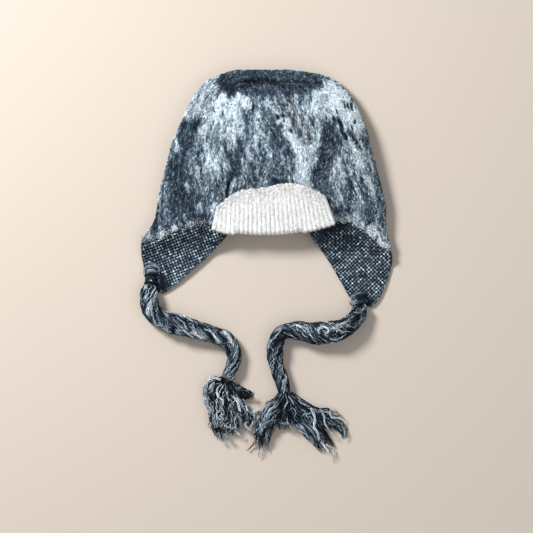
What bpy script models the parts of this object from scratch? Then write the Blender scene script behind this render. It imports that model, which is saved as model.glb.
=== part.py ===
"""Knitted chullo hat lying flat on its back, front upwards.

Frame: +Z up from the surface it lies on, +X to the hat's right as seen from
above, +Y towards the top of the crown. The origin is on the crown's flat back,
95 mm below the crown's top edge. Tables are in millimetres; the mesh is built
in metres.
"""

import math

import bmesh
import bpy
import numpy as np

MM = 0.001

# ------------------------------------------------------------ driving sizes
TOP_Y = 95.0          # the crown's top edge, above the origin
FELT = 3.0            # the crown's felted wall
KNIT = 3.2            # the ear flaps' unfelted wall
RIB = 4.2             # the ribbed front brim's wall
GAP = 0.4             # between neighbouring pieces
FLOOR_GAP = 0.3       # a soft piece's lowest point above the surface
SEAM_GAP = 1.2        # between the crown's rim and an ear flap
RIM_DEPTH = 167.6     # the front rim's depth below the top edge, at its middle
FLAP_FALL = 36.0      # an ear flap reaches the surface this far from its seam
BRIM_TUCK = 11.0      # how far the brim runs back inside the rim
FOLD_FROM, FOLD_TO = 0.165, 0.75  # the brim's share that wraps the rim

CROWN_AROUND = 48
SIDE_POWER, TOP_POWER = 2.6, 1.9       # the upper half of a crown section
BACK_SIDE_POWER, BACK_POWER = 3.0, 2.2  # the lower half

# The crown's outline, by depth below its top edge.
OUTLINE = [  # depth, x_left, x_right
    (0.0, -3.2, -3.2),
    (0.5, -20.0, 13.0),
    (2.1, -33.6, 32.6),
    (3.7, -39.9, 46.2),
    (6.8, -48.3, 59.9),
    (10.0, -54.6, 69.3),
    (13.1, -60.9, 74.6),
    (19.4, -67.2, 80.9),
    (25.7, -72.5, 87.2),
    (32.0, -76.1, 91.4),
    (42.5, -81.9, 97.1),
    (55.1, -87.2, 102.9),
    (67.7, -92.4, 107.1),
    (80.3, -97.7, 110.3),
    (105.5, -104.0, 116.6),
    (130.7, -110.3, 123.4),
    (143.3, -112.4, 126.0),
    (155.9, -114.5, 126.2),
    (168.5, -120.8, 126.5),
    (179.0, -129.2, 129.2),
    (190.0, -136.0, 132.4),
]

# The crown's section heights, by the same depth.
SECTIONS = [  # depth, side_z, rise (side to top), drop (side to back)
    (0.0, 8.0, 0.0, 0.0),
    (1.0, 8.0, 4.4, 3.6),
    (4.0, 8.3, 8.4, 6.8),
    (9.0, 8.8, 11.6, 10.0),
    (16.0, 9.3, 14.2, 12.5),
    (25.0, 10.0, 18.0, 14.0),
    (45.0, 11.0, 24.5, 15.5),
    (80.0, 11.5, 29.5, 16.0),
    (120.0, 10.5, 26.0, 15.0),
    (155.0, 9.5, 19.5, 13.5),
    (190.0, 8.5, 15.5, 12.0),
]

# The rim's two edges: the front one meets the flaps, the back one is the nape.
FRONT_RIM = [  # x, depth
    (-129.2, 179.0), (-120.8, 176.4), (-110.3, 173.3), (-99.8, 169.6),
    (-89.3, 165.9), (-76.7, 160.9), (-64.1, 159.3), (-55.7, 160.3),
    (-45.2, 163.1), (-34.7, 165.5), (-15.8, 167.2), (10.5, 167.7),
    (34.7, 165.1), (43.1, 163.0), (57.8, 159.2), (73.5, 156.5),
    (84.0, 156.0), (92.4, 158.4), (100.8, 163.3), (110.3, 171.2),
    (120.8, 180.1), (131.8, 188.0),
]
BACK_RIM = [  # x, depth
    (-129.2, 179.0), (-115.5, 176.9), (-89.3, 173.3), (-52.5, 170.1),
    (0.0, 168.5), (52.5, 170.1), (89.3, 174.3), (115.5, 181.1),
    (131.8, 188.0),
]

# Creases and soft swellings on the front, each along a straight run.
FOLDS = [  # x_from, depth_from, x_to, depth_to, half_width, height
    (-46.0, 20.0, -24.0, 14.6, 4.0, -4.2),
    (-24.0, 14.6, -4.0, 12.8, 4.0, -4.4),
    (-4.0, 12.8, 17.0, 14.4, 4.0, -4.4),
    (17.0, 14.4, 40.0, 15.4, 4.0, -4.4),
    (40.0, 15.4, 60.0, 16.5, 4.0, -3.8),
    (-28.0, 84.0, -27.0, 124.0, 4.0, -1.5),
    (84.0, 62.0, 108.0, 140.0, 7.0, -1.6),
    (-74.0, 60.0, -96.0, 134.0, 9.0, -1.6),
    (30.0, 60.0, 48.0, 118.0, 12.0, 1.6),
    (-50.0, 44.0, -52.0, 100.0, 14.0, 1.8),
]

# The brim: its fold line and its free edge.
BRIM = [  # share, x_fold, y_fold, x_edge, y_edge
    (0.0, -55.7, -70.7, -50.9, -50.3),
    (0.1, -42.7, -75.5, -39.5, -40.2),
    (0.2, -29.7, -76.9, -27.9, -32.9),
    (0.3, -16.8, -78.1, -16.5, -31.1),
    (0.4, -3.8, -78.6, -4.9, -29.8),
    (0.5, 9.1, -78.5, 6.5, -27.3),
    (0.6, 22.1, -77.6, 18.0, -25.4),
    (0.7, 35.1, -75.8, 29.5, -24.8),
    (0.8, 48.0, -73.0, 41.0, -27.3),
    (0.9, 60.9, -69.8, 52.5, -32.3),
    (1.0, 73.9, -65.7, 63.9, -38.2),
]

# An ear flap's free edge, from its outer corner round the tip to its inner
# corner; lift is how far that edge stands off the surface.
LEFT_FLAP = [  # share, x, y, lift
    (0.00, -130.0, -91.4, 0.0),
    (0.10, -129.7, -98.7, 0.0),
    (0.20, -128.3, -107.1, 0.0),
    (0.30, -126.6, -115.5, 0.0),
    (0.38, -124.8, -122.6, 0.0),
    (0.43, -118.6, -125.6, 0.0),
    (0.48, -111.8, -130.0, 0.0),
    (0.52, -110.0, -136.5, 0.0),
    (0.56, -108.4, -140.4, 0.3),
    (0.62, -100.8, -136.0, 1.2),
    (0.70, -89.3, -127.1, 2.2),
    (0.78, -76.7, -115.9, 3.0),
    (0.86, -63.0, -104.0, 3.0),
    (0.93, -50.4, -91.0, 1.5),
    (1.00, -37.6, -77.0, 0.0),
]
RIGHT_FLAP = [  # share, x, y, lift
    (0.00, 132.8, -100.8, 0.0),
    (0.10, 133.4, -107.1, 0.0),
    (0.20, 131.6, -115.5, 0.0),
    (0.30, 128.6, -126.0, 0.0),
    (0.40, 123.9, -137.6, 0.6),
    (0.50, 117.6, -148.6, 0.9),
    (0.56, 111.6, -154.3, 0.4),
    (0.60, 107.8, -153.8, 0.0),
    (0.64, 105.6, -148.6, 0.0),
    (0.68, 98.0, -147.2, 0.0),
    (0.72, 91.8, -146.0, 0.3),
    (0.80, 81.4, -130.2, 1.2),
    (0.88, 70.4, -111.3, 1.6),
    (0.94, 58.8, -94.0, 0.8),
    (1.00, 45.2, -75.4, 0.0),
]
LEFT_SEAM = (-128.6, -37.4)   # the stretch of front rim, by x
RIGHT_SEAM = (131.2, 45.0)

# The ties' routes, with their thickness along them.
LEFT_TIE = [  # x, y, width
    (-120.9, -131.2, 12.0), (-121.2, -134.8, 15.4), (-121.9, -140.6, 18.4),
    (-121.6, -148.0, 18.8), (-118.7, -157.4, 18.8), (-112.6, -164.8, 18.6),
    (-104.0, -169.4, 19.8), (-95.6, -171.8, 21.6), (-89.2, -173.8, 22.0),
    (-82.6, -175.4, 21.4), (-76.4, -176.8, 20.4), (-70.0, -179.4, 19.4),
    (-63.6, -181.0, 18.4), (-57.4, -182.4, 17.4), (-49.2, -184.9, 16.8),
    (-41.8, -188.7, 16.6), (-35.9, -194.4, 16.2), (-32.8, -201.8, 15.6),
    (-32.8, -210.0, 14.8), (-35.2, -218.4, 13.8), (-38.6, -226.0, 12.6),
    (-40.6, -231.0, 11.6),
]
RIGHT_TIE = [  # x, y, width
    (100.3, -152.2, 13.0), (99.6, -156.6, 15.0), (97.0, -163.4, 16.6),
    (91.6, -170.6, 18.6), (85.0, -175.8, 20.6), (76.8, -179.4, 22.0),
    (68.2, -181.4, 22.6), (59.8, -182.0, 23.0), (51.4, -181.6, 22.4),
    (43.0, -180.4, 20.8), (34.8, -179.2, 18.6), (27.4, -178.9, 17.0),
    (20.4, -180.2, 16.4), (14.9, -184.2, 16.0), (11.7, -190.4, 16.4),
    (10.8, -197.6, 16.4), (10.5, -206.0, 15.6), (11.8, -214.4, 15.0),
    (14.6, -223.6, 14.8), (17.4, -233.0, 14.4), (19.6, -240.6, 13.0),
    (21.6, -246.6, 12.0),
]
TIE_DIAMETER = 17.0
TIE_POINTS = 44

# The knots where each tie's strands come through the tip of its flap.
LEFT_KNOT = [  # x, y, half_width, half_height
    (-120.4, -119.2, 1.6, 1.4), (-120.4, -121.0, 4.6, 3.4),
    (-120.5, -124.6, 5.8, 4.3), (-120.7, -128.2, 5.6, 4.2),
    (-120.8, -129.9, 5.0, 3.8),
]
RIGHT_KNOT = [  # x, y, half_width, half_height
    (101.4, -141.0, 1.8, 1.4), (101.2, -142.6, 4.8, 3.6),
    (100.9, -146.0, 6.4, 4.5), (100.5, -149.6, 6.2, 4.4),
    (100.4, -151.1, 5.6, 4.0),
]

# Each tassel is a neck and a few locks of loose strands, joined in one form.
LEFT_TASSEL = [  # lock: rows of x, y, half_width, half_height
    [(-41.35, -232.5, 5.0, 5.0), (-41.8, -236.5, 6.6, 6.2), (-42.2, -241.0, 7.0, 6.4)],
    [(-42.5, -237.5, 4.0, 4.0), (-49.5, -236.8, 6.0, 6.2), (-55.5, -240.0, 6.6, 6.6),
     (-57.6, -247.5, 6.0, 6.0), (-55.0, -256.0, 4.5, 4.5), (-52.0, -262.0, 2.5, 2.8)],
    [(-42.5, -238.0, 6.0, 5.6), (-44.5, -250.0, 10.0, 7.4), (-46.5, -262.0, 10.4, 7.6),
     (-46.8, -274.0, 9.6, 6.6), (-45.6, -285.0, 8.0, 5.0), (-44.6, -293.8, 4.2, 3.0)],
    [(-41.5, -239.0, 5.4, 5.4), (-35.0, -249.0, 8.2, 6.6), (-29.5, -261.0, 8.6, 6.2),
     (-24.5, -272.5, 8.0, 5.0), (-20.5, -281.0, 4.4, 3.0)],
    [(-40.5, -238.5, 4.4, 4.4), (-30.0, -242.2, 5.4, 5.0), (-20.5, -246.6, 4.0, 4.0),
     (-14.6, -249.4, 5.0, 4.6), (-11.4, -250.6, 2.6, 2.6)],
]
RIGHT_TASSEL = [
    [(21.75, -247.1, 5.4, 5.4), (22.8, -251.0, 7.4, 6.8), (23.6, -254.5, 8.0, 7.0)],
    [(22.5, -252.5, 6.0, 5.6), (14.0, -258.0, 7.6, 7.0), (6.5, -265.5, 8.4, 7.0),
     (1.0, -275.5, 9.0, 6.2), (-3.0, -287.0, 9.0, 5.2), (-4.5, -299.5, 6.0, 3.2)],
    [(24.0, -253.5, 7.0, 6.4), (25.5, -263.0, 10.5, 7.6), (27.0, -272.5, 12.0, 6.6),
     (28.0, -280.0, 9.0, 3.8)],
    [(25.0, -254.0, 7.4, 6.8), (34.0, -263.0, 10.4, 7.8), (46.0, -276.0, 10.6, 7.4),
     (56.0, -290.0, 9.4, 6.0), (65.0, -304.0, 6.4, 3.6), (67.5, -308.6, 3.6, 2.4)],
    [(26.0, -253.5, 6.6, 6.4), (40.0, -262.0, 9.4, 7.6), (56.0, -270.0, 9.8, 7.0),
     (70.0, -277.0, 8.4, 5.4), (80.5, -287.0, 3.6, 2.8)],
    [(27.5, -252.5, 5.4, 5.4), (44.0, -259.0, 6.8, 6.4), (60.0, -263.0, 7.0, 5.6),
     (73.0, -265.0, 6.6, 4.6), (82.5, -271.5, 3.4, 2.8)],
]

# Each piece's colour (linear), roughness.
FINISH = {
    "felt": ((0.115, 0.140, 0.170), 0.95),
    "knit": ((0.050, 0.060, 0.072), 0.92),
    "rib": ((0.780, 0.755, 0.720), 0.92),
    "yarn": ((0.085, 0.100, 0.118), 0.90),
}


# ------------------------------------------------------------ small tools
def through(xs, ys):
    """A smooth curve through rising xs that makes no bump of its own."""
    xs, ys = np.asarray(xs, float), np.asarray(ys, float)
    h = np.diff(xs)
    d = np.diff(ys) / h
    m = np.zeros(len(xs))
    m[0], m[-1] = d[0], d[-1]
    for i in range(1, len(xs) - 1):
        if d[i - 1] * d[i] > 0:
            w1, w2 = 2 * h[i] + h[i - 1], h[i] + 2 * h[i - 1]
            m[i] = (w1 + w2) / (w1 / d[i - 1] + w2 / d[i])

    def at(x):
        x = np.clip(np.asarray(x, float), xs[0], xs[-1])
        i = np.clip(np.searchsorted(xs, x) - 1, 0, len(xs) - 2)
        t = (x - xs[i]) / h[i]
        return (
            (2 * t**3 - 3 * t**2 + 1) * ys[i]
            + (t**3 - 2 * t**2 + t) * h[i] * m[i]
            + (-2 * t**3 + 3 * t**2) * ys[i + 1]
            + (t**3 - t**2) * h[i] * m[i + 1]
        )

    return at


def column(table, *names_at):
    return [np.array([row[i] for row in table], float) for i in names_at]


def step(x):
    x = np.clip(x, 0.0, 1.0)
    return x * x * (3 - 2 * x)


def spline_points(rows, count):
    """Points evenly spaced along a Catmull-Rom curve through rows."""
    p = np.array(rows, float)
    p = np.vstack([2 * p[0] - p[1], p, 2 * p[-1] - p[-2]])
    fine = []
    for i in range(1, len(p) - 2):
        for t in np.linspace(0, 1, 24, endpoint=False):
            fine.append(0.5 * (
                2 * p[i] + (p[i + 1] - p[i - 1]) * t
                + (2 * p[i - 1] - 5 * p[i] + 4 * p[i + 1] - p[i + 2]) * t**2
                + (3 * p[i] - p[i - 1] - 3 * p[i + 1] + p[i + 2]) * t**3))
    fine.append(p[-2])
    fine = np.array(fine)
    along = np.concatenate(
        [[0], np.cumsum(np.linalg.norm(np.diff(fine[:, :2], axis=0), axis=1))])
    at = np.linspace(0, along[-1], count)
    return np.stack([np.interp(at, along, fine[:, k]) for k in range(p.shape[1])], 1)


def material(name):
    colour, rough = FINISH[name]
    made = bpy.data.materials.get(name) or bpy.data.materials.new(name)
    made.use_nodes = True
    shader = made.node_tree.nodes["Principled BSDF"]
    shader.inputs["Base Color"].default_value = (*colour, 1.0)
    shader.inputs["Roughness"].default_value = rough
    shader.inputs["Metallic"].default_value = 0.0
    return made


def add_mesh(name, points, faces, finish, smooth=True):
    mesh = bpy.data.meshes.new(name)
    mesh.from_pydata([tuple(p) for p in np.asarray(points) * MM], [], faces)
    mesh.validate()
    work = bmesh.new()
    work.from_mesh(mesh)
    bmesh.ops.recalc_face_normals(work, faces=work.faces)
    work.to_mesh(mesh)
    work.free()
    obj = bpy.data.objects.new(name, mesh)
    bpy.context.scene.collection.objects.link(obj)
    obj.data.materials.append(material(finish))
    if smooth:
        mesh.shade_smooth()
        mesh.set_sharp_from_angle(angle=math.radians(50))
    return obj


# ------------------------------------------------------------ crown
_depth, _left, _right = column(OUTLINE, 0, 1, 2)
x_left = through(np.sqrt(_depth), _left)
x_right = through(np.sqrt(_depth), _right)
_sd, _sz, _rise, _drop = column(SECTIONS, 0, 1, 2, 3)
side_z = through(np.sqrt(_sd), _sz)
rise = through(np.sqrt(_sd), _rise)
drop = through(np.sqrt(_sd), _drop)


def middle(depth):
    s = np.sqrt(np.maximum(depth, 0))
    return (x_left(s) + x_right(s)) / 2, (x_right(s) - x_left(s)) / 2


def rim_by_share(table):
    """The rim's depth as a function of the share across the crown, -1 to 1."""
    x, d = column(table, 0, 1)
    centre, half = middle(d)
    share = (x - centre) / half
    share[0], share[-1] = -1.0, 1.0
    return through(share, d)


front_rim = rim_by_share(FRONT_RIM)
back_rim = rim_by_share(BACK_RIM)


def fold_height(x, depth):
    total = np.zeros(np.broadcast(x, depth).shape)
    for x0, d0, x1, d1, half, height in FOLDS:
        run = np.array([x1 - x0, d1 - d0])
        t = np.clip(((x - x0) * run[0] + (depth - d0) * run[1]) / (run @ run), 0, 1)
        away = np.hypot(x - x0 - t * run[0], depth - d0 - t * run[1])
        part = height * np.exp(-((away / half) ** 2))
        # neighbouring runs of one crease meet without doubling its depth
        total = np.where(np.abs(part) > np.abs(total), part, total)
    return total


def top_z(x, depth):
    """The height of the crown's front surface over the surface it lies on."""
    centre, half = middle(depth)
    s = np.sqrt(np.maximum(depth, 0))
    share = np.clip(np.abs(x - centre) / np.maximum(half, 1e-6), 0, 1)
    bulge = (1 - share**SIDE_POWER) ** (1 / TOP_POWER)
    return side_z(s) + rise(s) * bulge + fold_height(x, depth) * bulge


def crown_point(turn, depth_at_rim_middle):
    """A point of the outer surface: turn 0 is the right side, a quarter the
    front, a half the left side and three quarters the back."""
    c, s = np.cos(turn), np.sin(turn)
    front = s >= 0
    power = np.where(front, SIDE_POWER, BACK_SIDE_POWER)
    share = np.sign(c) * np.abs(c) ** (2 / power)
    rim = np.where(front, front_rim(share), back_rim(share))
    follow = step((depth_at_rim_middle - 70) / (RIM_DEPTH - 70))
    depth = depth_at_rim_middle + (rim - RIM_DEPTH) * follow
    root = np.sqrt(np.maximum(depth, 0))
    centre, half = middle(depth)
    x = centre + half * share
    high = np.abs(s) ** (2 / TOP_POWER)
    low = np.abs(s) ** (2 / BACK_POWER)
    z_front = side_z(root) + (rise(root) + fold_height(x, depth)) * high
    z_back = np.maximum(0.0, side_z(root) - drop(root) * low)
    return np.stack([x, TOP_Y - depth, np.where(front, z_front, z_back)], -1)


def crown_normal(turn, depth):
    e = 1e-3
    a = crown_point(turn + e, depth) - crown_point(turn - e, depth)
    b = crown_point(turn, depth + 0.05) - crown_point(turn, np.maximum(depth - 0.05, 1e-4))
    n = np.cross(a, b)
    return n / np.maximum(np.linalg.norm(n, axis=-1, keepdims=True), 1e-9)


def crown_depths():
    """Ring depths: close together over the rolled top and its crease."""
    roll = [0.35, 1.4, 3.2, 5.6, 8.4, 11.2, 14.2, 17.0, 20.0, 24.0, 29.0]
    body = list(np.linspace(36.0, RIM_DEPTH, 13))
    return roll + body


def make_crown():
    turns = (np.arange(CROWN_AROUND) + 0.5) * 2 * math.pi / CROWN_AROUND
    outer, inner = [], []
    for depth in reversed(crown_depths()):
        p = crown_point(turns, depth)
        n = crown_normal(turns, depth)
        centre = p.mean(0)
        inward = np.sign(((p - centre) * n).sum(-1, keepdims=True))
        outer.append(p)
        inner.append(p - n * np.where(inward == 0, 1, inward) * FELT)
    # at the rim, the wall ends square to its own length
    for k in range(CROWN_AROUND):
        inner[0][k, 1] = outer[0][k, 1]
    rings, around = len(outer), CROWN_AROUND
    points = list(np.vstack(outer)) + list(np.vstack(inner))
    top = crown_point(np.array([math.pi / 2]), 0.0)[0]
    points += [top, top - np.array([0, FELT, 0])]
    base, tip_out, tip_in = rings * around, len(points) - 2, len(points) - 1
    faces = []
    for r in range(rings - 1):
        for k in range(around):
            a, b = r * around + k, r * around + (k + 1) % around
            faces.append((a, b, b + around, a + around))
            faces.append((base + b, base + a, base + a + around, base + b + around))
    last = (rings - 1) * around
    for k in range(around):
        a, b = last + k, last + (k + 1) % around
        faces.append((a, b, tip_out))
        faces.append((base + b, base + a, tip_in))
        a, b = k, (k + 1) % around
        faces.append((b, a, base + a, base + b))
    return add_mesh("crown", points, faces, "felt")


# ------------------------------------------------------------ sheets
def thick_sheet(name, centre, thickness, finish, present=None):
    """A closed solid from a grid of points down the middle of a sheet. present
    says which cells of the grid are cloth."""
    rows, cols = centre.shape[:2]
    du = np.gradient(centre, axis=1)
    dv = np.gradient(centre, axis=0)
    n = np.cross(du, dv)
    n /= np.maximum(np.linalg.norm(n, axis=-1, keepdims=True), 1e-9)
    if n[..., 2].mean() < 0:
        n = -n
    upper, lower = centre + n * thickness / 2, centre - n * thickness / 2
    if present is None:
        present = np.ones((rows - 1, cols - 1), bool)
    points = list(upper.reshape(-1, 3)) + list(lower.reshape(-1, 3))
    under = rows * cols
    faces, sides = [], {}
    for r in range(rows - 1):
        for c in range(cols - 1):
            if not present[r, c]:
                continue
            a, b = r * cols + c, r * cols + c + 1
            d, e = a + cols, b + cols
            faces.append((a, b, e, d))
            faces.append((under + b, under + a, under + d, under + e))
            for i, j in ((a, b), (b, e), (e, d), (d, a)):
                key = (min(i, j), max(i, j))
                if key in sides:
                    sides[key] = None
                else:
                    sides[key] = (i, j)
    for pair in sides.values():
        if pair:
            i, j = pair
            faces.append((j, i, under + i, under + j))
    used = sorted({i for f in faces for i in f})
    number = {old: new for new, old in enumerate(used)}
    faces = [tuple(number[i] for i in f) for f in faces]
    return add_mesh(name, [points[i] for i in used], faces, finish)


def rim_line(x):
    """The front rim over x, as the crown's facets have it: y and z of the
    middle of the wall."""
    around = np.arange(CROWN_AROUND // 2)[::-1]
    rim = crown_point((around + 0.5) * 2 * math.pi / CROWN_AROUND, RIM_DEPTH)
    x = np.asarray(x, float)
    return (np.interp(x, rim[:, 0], rim[:, 1]),
            np.interp(x, rim[:, 0], rim[:, 2]) - FELT / 2)


def flap_centre(seam, table, columns, rows):
    share = np.linspace(0, 1, columns)
    s, ex, ey, el = column(table, 0, 1, 2, 3)
    edge = np.stack([through(s, ex)(share), through(s, ey)(share)], -1)
    lift = through(s, el)(share)
    x0 = seam[0] + (seam[1] - seam[0]) * share
    y0, z0 = rim_line(x0)
    # the seam's outer end turns down with the crown's side
    side = np.exp(-share / 0.05)
    y0 = y0 - 1.2 * side
    grid = np.zeros((rows, columns, 3))
    for r, t in enumerate(np.linspace(0, 1, rows)):
        start = np.stack([x0, y0 - SEAM_GAP], -1)
        xy = start * (1 - t) + edge * t
        far = np.linalg.norm(xy - start, axis=1)
        q = np.clip(far / FLAP_FALL, 0, 1)
        fall = (1 - q) ** 2 * (1 + 2 * q)
        low = KNIT / 2 + FLOOR_GAP
        z = low + (z0 - low) * fall + lift * t**2
        grid[r] = np.concatenate([xy, z[:, None]], 1)
    return grid


def make_flap(name, seam, table):
    return thick_sheet(name, flap_centre(seam, table, 25, 7), KNIT, "knit")


def brim_centre(columns, rows_up, rows_round, rows_in):
    """The brim's middle surface from its free edge down to the fold, round
    under the crown's rim and a little way up inside it."""
    share = np.linspace(0, 1, columns)
    s, fx, fy, ex, ey = column(BRIM, 0, 1, 2, 3, 4)
    fold = np.stack([through(s, fx)(share), through(s, fy)(share)], -1)
    edge = np.stack([through(s, ex)(share), through(s, ey)(share)], -1)
    radius = FELT / 2 + GAP + 0.15 + RIB / 2
    across = fold - edge
    across /= np.linalg.norm(across, axis=1, keepdims=True)
    # beyond the wrap, over the flaps' corners, the leaf runs to the fold line
    wraps = (share > FOLD_FROM - 0.01) & (share < FOLD_TO + 0.01)
    reach = np.where(wraps, radius + RIB / 2, 0.3)[:, None]
    hinge = fold - across * reach      # over the centre of the fold
    lines = []
    for t in np.linspace(0, 1, rows_up):
        xy = edge * (1 - t) + hinge * t
        z = top_z(xy[:, 0], TOP_Y - xy[:, 1]) + GAP + 0.2 + RIB / 2
        lines.append(np.concatenate([xy, z[:, None]], 1))
    level = lines[-1][:, 2] - radius
    for t in np.linspace(0, 1, rows_round + 1)[1:]:
        a = math.pi * t
        xy = hinge + across * radius * math.sin(a)
        z = level + radius * math.cos(a)
        lines.append(np.concatenate([xy, z[:, None]], 1))
    for t in np.linspace(0, 1, rows_in + 1)[1:]:
        xy = hinge - across * BRIM_TUCK * t
        drop_in = (top_z(xy[:, 0], TOP_Y - xy[:, 1])
                   - top_z(hinge[:, 0], TOP_Y - hinge[:, 1]))
        z = level - radius + np.minimum(drop_in, 1.2 * t)
        lines.append(np.concatenate([xy, z[:, None]], 1))
    return np.array(lines), share


def make_brim():
    up, round_, in_ = 6, 5, 2
    centre, share = brim_centre(29, up, round_, in_)
    cells = (share[1:] + share[:-1]) / 2
    wraps = (cells > FOLD_FROM) & (cells < FOLD_TO)
    present = np.ones((centre.shape[0] - 1, len(cells)), bool)
    present[up:, ~wraps] = False
    return thick_sheet("front_brim", centre, RIB, "rib", present)


# ------------------------------------------------------------ ties and tassels
def tie_route(table):
    """x, y, z and radius along a tie: it lies on the surface all the way."""
    rows = spline_points(table, TIE_POINTS)
    radius = rows[:, 2] / 2
    z = radius + FLOOR_GAP
    z[0], z[-1] = z[1], z[-2]      # both ends are square to the surface
    return np.column_stack([rows[:, 0], rows[:, 1], z, radius])


def make_tie(name, table):
    route = tie_route(table)
    data = bpy.data.curves.new(name, "CURVE")
    data.dimensions = "3D"
    data.bevel_depth = TIE_DIAMETER / 2 * MM
    data.bevel_resolution = 2
    data.use_fill_caps = True
    line = data.splines.new("POLY")
    line.points.add(len(route) - 1)
    for point, (x, y, z, r) in zip(line.points, route):
        point.co = (x * MM, y * MM, z * MM, 1.0)
        point.radius = r / (TIE_DIAMETER / 2)
    obj = bpy.data.objects.new(name, data)
    bpy.context.scene.collection.objects.link(obj)
    data.materials.append(material("yarn"))
    return obj


def lock_mesh(rows, sides, base_z):
    """A closed tapering lock through rows of x, y, half_width, half_height."""
    p = np.array(rows, float)
    run = np.gradient(p[:, :2], axis=0)
    run /= np.linalg.norm(run, axis=1, keepdims=True)
    across = np.stack([run[:, 1], -run[:, 0]], -1)
    points = []
    for (x, y, w, h), side in zip(p, across):
        for k in range(sides):
            a = 2 * math.pi * (k + 0.5) / sides
            points.append((x + side[0] * w * math.cos(a),
                           y + side[1] * w * math.cos(a),
                           base_z + h + h * math.sin(a)))
    faces = []
    for r in range(len(p) - 1):
        for k in range(sides):
            a, b = r * sides + k, r * sides + (k + 1) % sides
            faces.append((a, b, b + sides, a + sides))
    last = (len(p) - 1) * sides
    faces.append(tuple(range(sides - 1, -1, -1)))
    faces.append(tuple(range(last, last + sides)))
    return points, faces


def make_tassel(name, locks):
    neck = add_mesh(name, *lock_mesh(locks[0], 10, FLOOR_GAP), "yarn")
    for i, rows in enumerate(locks[1:]):
        guide = add_mesh(f"{name}_lock_{i}", *lock_mesh(rows, 10, FLOOR_GAP + 0.01 * (i + 1)), "yarn")
        guide.hide_render = True
        guide.display_type = "WIRE"
        join = neck.modifiers.new(f"lock_{i}", "BOOLEAN")
        join.operation = "UNION"
        join.solver = "EXACT"
        join.object = guide
    return neck


def make_knot(name, table, base_z):
    return add_mesh(name, *lock_mesh(table, 12, base_z), "yarn")


# ------------------------------------------------------------ build
for old in list(bpy.data.objects):
    bpy.data.objects.remove(old)

make_crown()
make_brim()
make_flap("ear_flap_left", LEFT_SEAM, LEFT_FLAP)
make_flap("ear_flap_right", RIGHT_SEAM, RIGHT_FLAP)
flap_top = KNIT + FLOOR_GAP
make_knot("tie_knot_left", LEFT_KNOT, flap_top + GAP)
make_knot("tie_knot_right", RIGHT_KNOT, flap_top + GAP)
make_tie("tie_left", LEFT_TIE)
make_tie("tie_right", RIGHT_TIE)
make_tassel("tassel_left", LEFT_TASSEL)
make_tassel("tassel_right", RIGHT_TASSEL)
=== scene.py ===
"""The looks of a knitted chullo hat lying flat on its back.

Everything is worked out in millimetres in the CAD's frame and written in
metres: +Z up, +Y towards the crown's top, the origin on the crown's flat back.
Places read off the photograph are written in its pixels, through at().
"""

import math

import bpy
import numpy as np
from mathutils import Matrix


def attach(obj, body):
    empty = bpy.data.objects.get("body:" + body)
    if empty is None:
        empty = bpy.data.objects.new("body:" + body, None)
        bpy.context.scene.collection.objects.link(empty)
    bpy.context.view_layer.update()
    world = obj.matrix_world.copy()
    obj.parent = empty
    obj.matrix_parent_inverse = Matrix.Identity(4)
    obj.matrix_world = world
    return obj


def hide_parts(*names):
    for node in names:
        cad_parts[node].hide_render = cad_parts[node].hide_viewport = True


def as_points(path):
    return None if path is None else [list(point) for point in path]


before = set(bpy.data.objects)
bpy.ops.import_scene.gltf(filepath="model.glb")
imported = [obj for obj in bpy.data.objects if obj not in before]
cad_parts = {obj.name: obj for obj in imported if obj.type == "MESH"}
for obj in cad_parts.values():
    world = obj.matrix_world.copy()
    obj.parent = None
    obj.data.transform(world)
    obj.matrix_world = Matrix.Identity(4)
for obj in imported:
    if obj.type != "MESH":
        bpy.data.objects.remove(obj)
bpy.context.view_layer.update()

MM = 0.001
PIXEL = 1.05                 # one pixel of the photograph, in mm
ORIGIN_PX = (265.0, 160.0)   # where the origin shows


def at(px, py):
    return (px - ORIGIN_PX[0]) * PIXEL, (ORIGIN_PX[1] - py) * PIXEL


def to_px(x, y):
    return x / PIXEL + ORIGIN_PX[0], ORIGIN_PX[1] - y / PIXEL


# ============================================================ part.py's sizes
TOP_Y, FELT, KNIT, RIB, GAP, FLOOR_GAP = 95.0, 3.0, 3.2, 4.2, 0.4, 0.3
RIM_DEPTH, FLAP_FALL, BRIM_TUCK = 167.6, 36.0, 11.0
FOLD_FROM, FOLD_TO = 0.165, 0.75
CROWN_AROUND = 48
SIDE_POWER, TOP_POWER, BACK_SIDE_POWER, BACK_POWER = 2.6, 1.9, 3.0, 2.2

OUTLINE = [  # depth below the top edge, x_left, x_right
    (0.0, -3.2, -3.2), (0.5, -20.0, 13.0), (2.1, -33.6, 32.6),
    (3.7, -39.9, 46.2), (6.8, -48.3, 59.9), (10.0, -54.6, 69.3),
    (13.1, -60.9, 74.6), (19.4, -67.2, 80.9), (25.7, -72.5, 87.2),
    (32.0, -76.1, 91.4), (42.5, -81.9, 97.1), (55.1, -87.2, 102.9),
    (67.7, -92.4, 107.1), (80.3, -97.7, 110.3), (105.5, -104.0, 116.6),
    (130.7, -110.3, 123.4), (143.3, -112.4, 126.0), (155.9, -114.5, 126.2),
    (168.5, -120.8, 126.5), (179.0, -129.2, 129.2), (190.0, -136.0, 132.4),
]
SECTIONS = [  # depth, side_z, rise, drop
    (0.0, 8.0, 0.0, 0.0), (1.0, 8.0, 4.4, 3.6), (4.0, 8.3, 8.4, 6.8),
    (9.0, 8.8, 11.6, 10.0), (16.0, 9.3, 14.2, 12.5), (25.0, 10.0, 18.0, 14.0),
    (45.0, 11.0, 24.5, 15.5), (80.0, 11.5, 29.5, 16.0),
    (120.0, 10.5, 26.0, 15.0), (155.0, 9.5, 19.5, 13.5),
    (190.0, 8.5, 15.5, 12.0),
]
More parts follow.
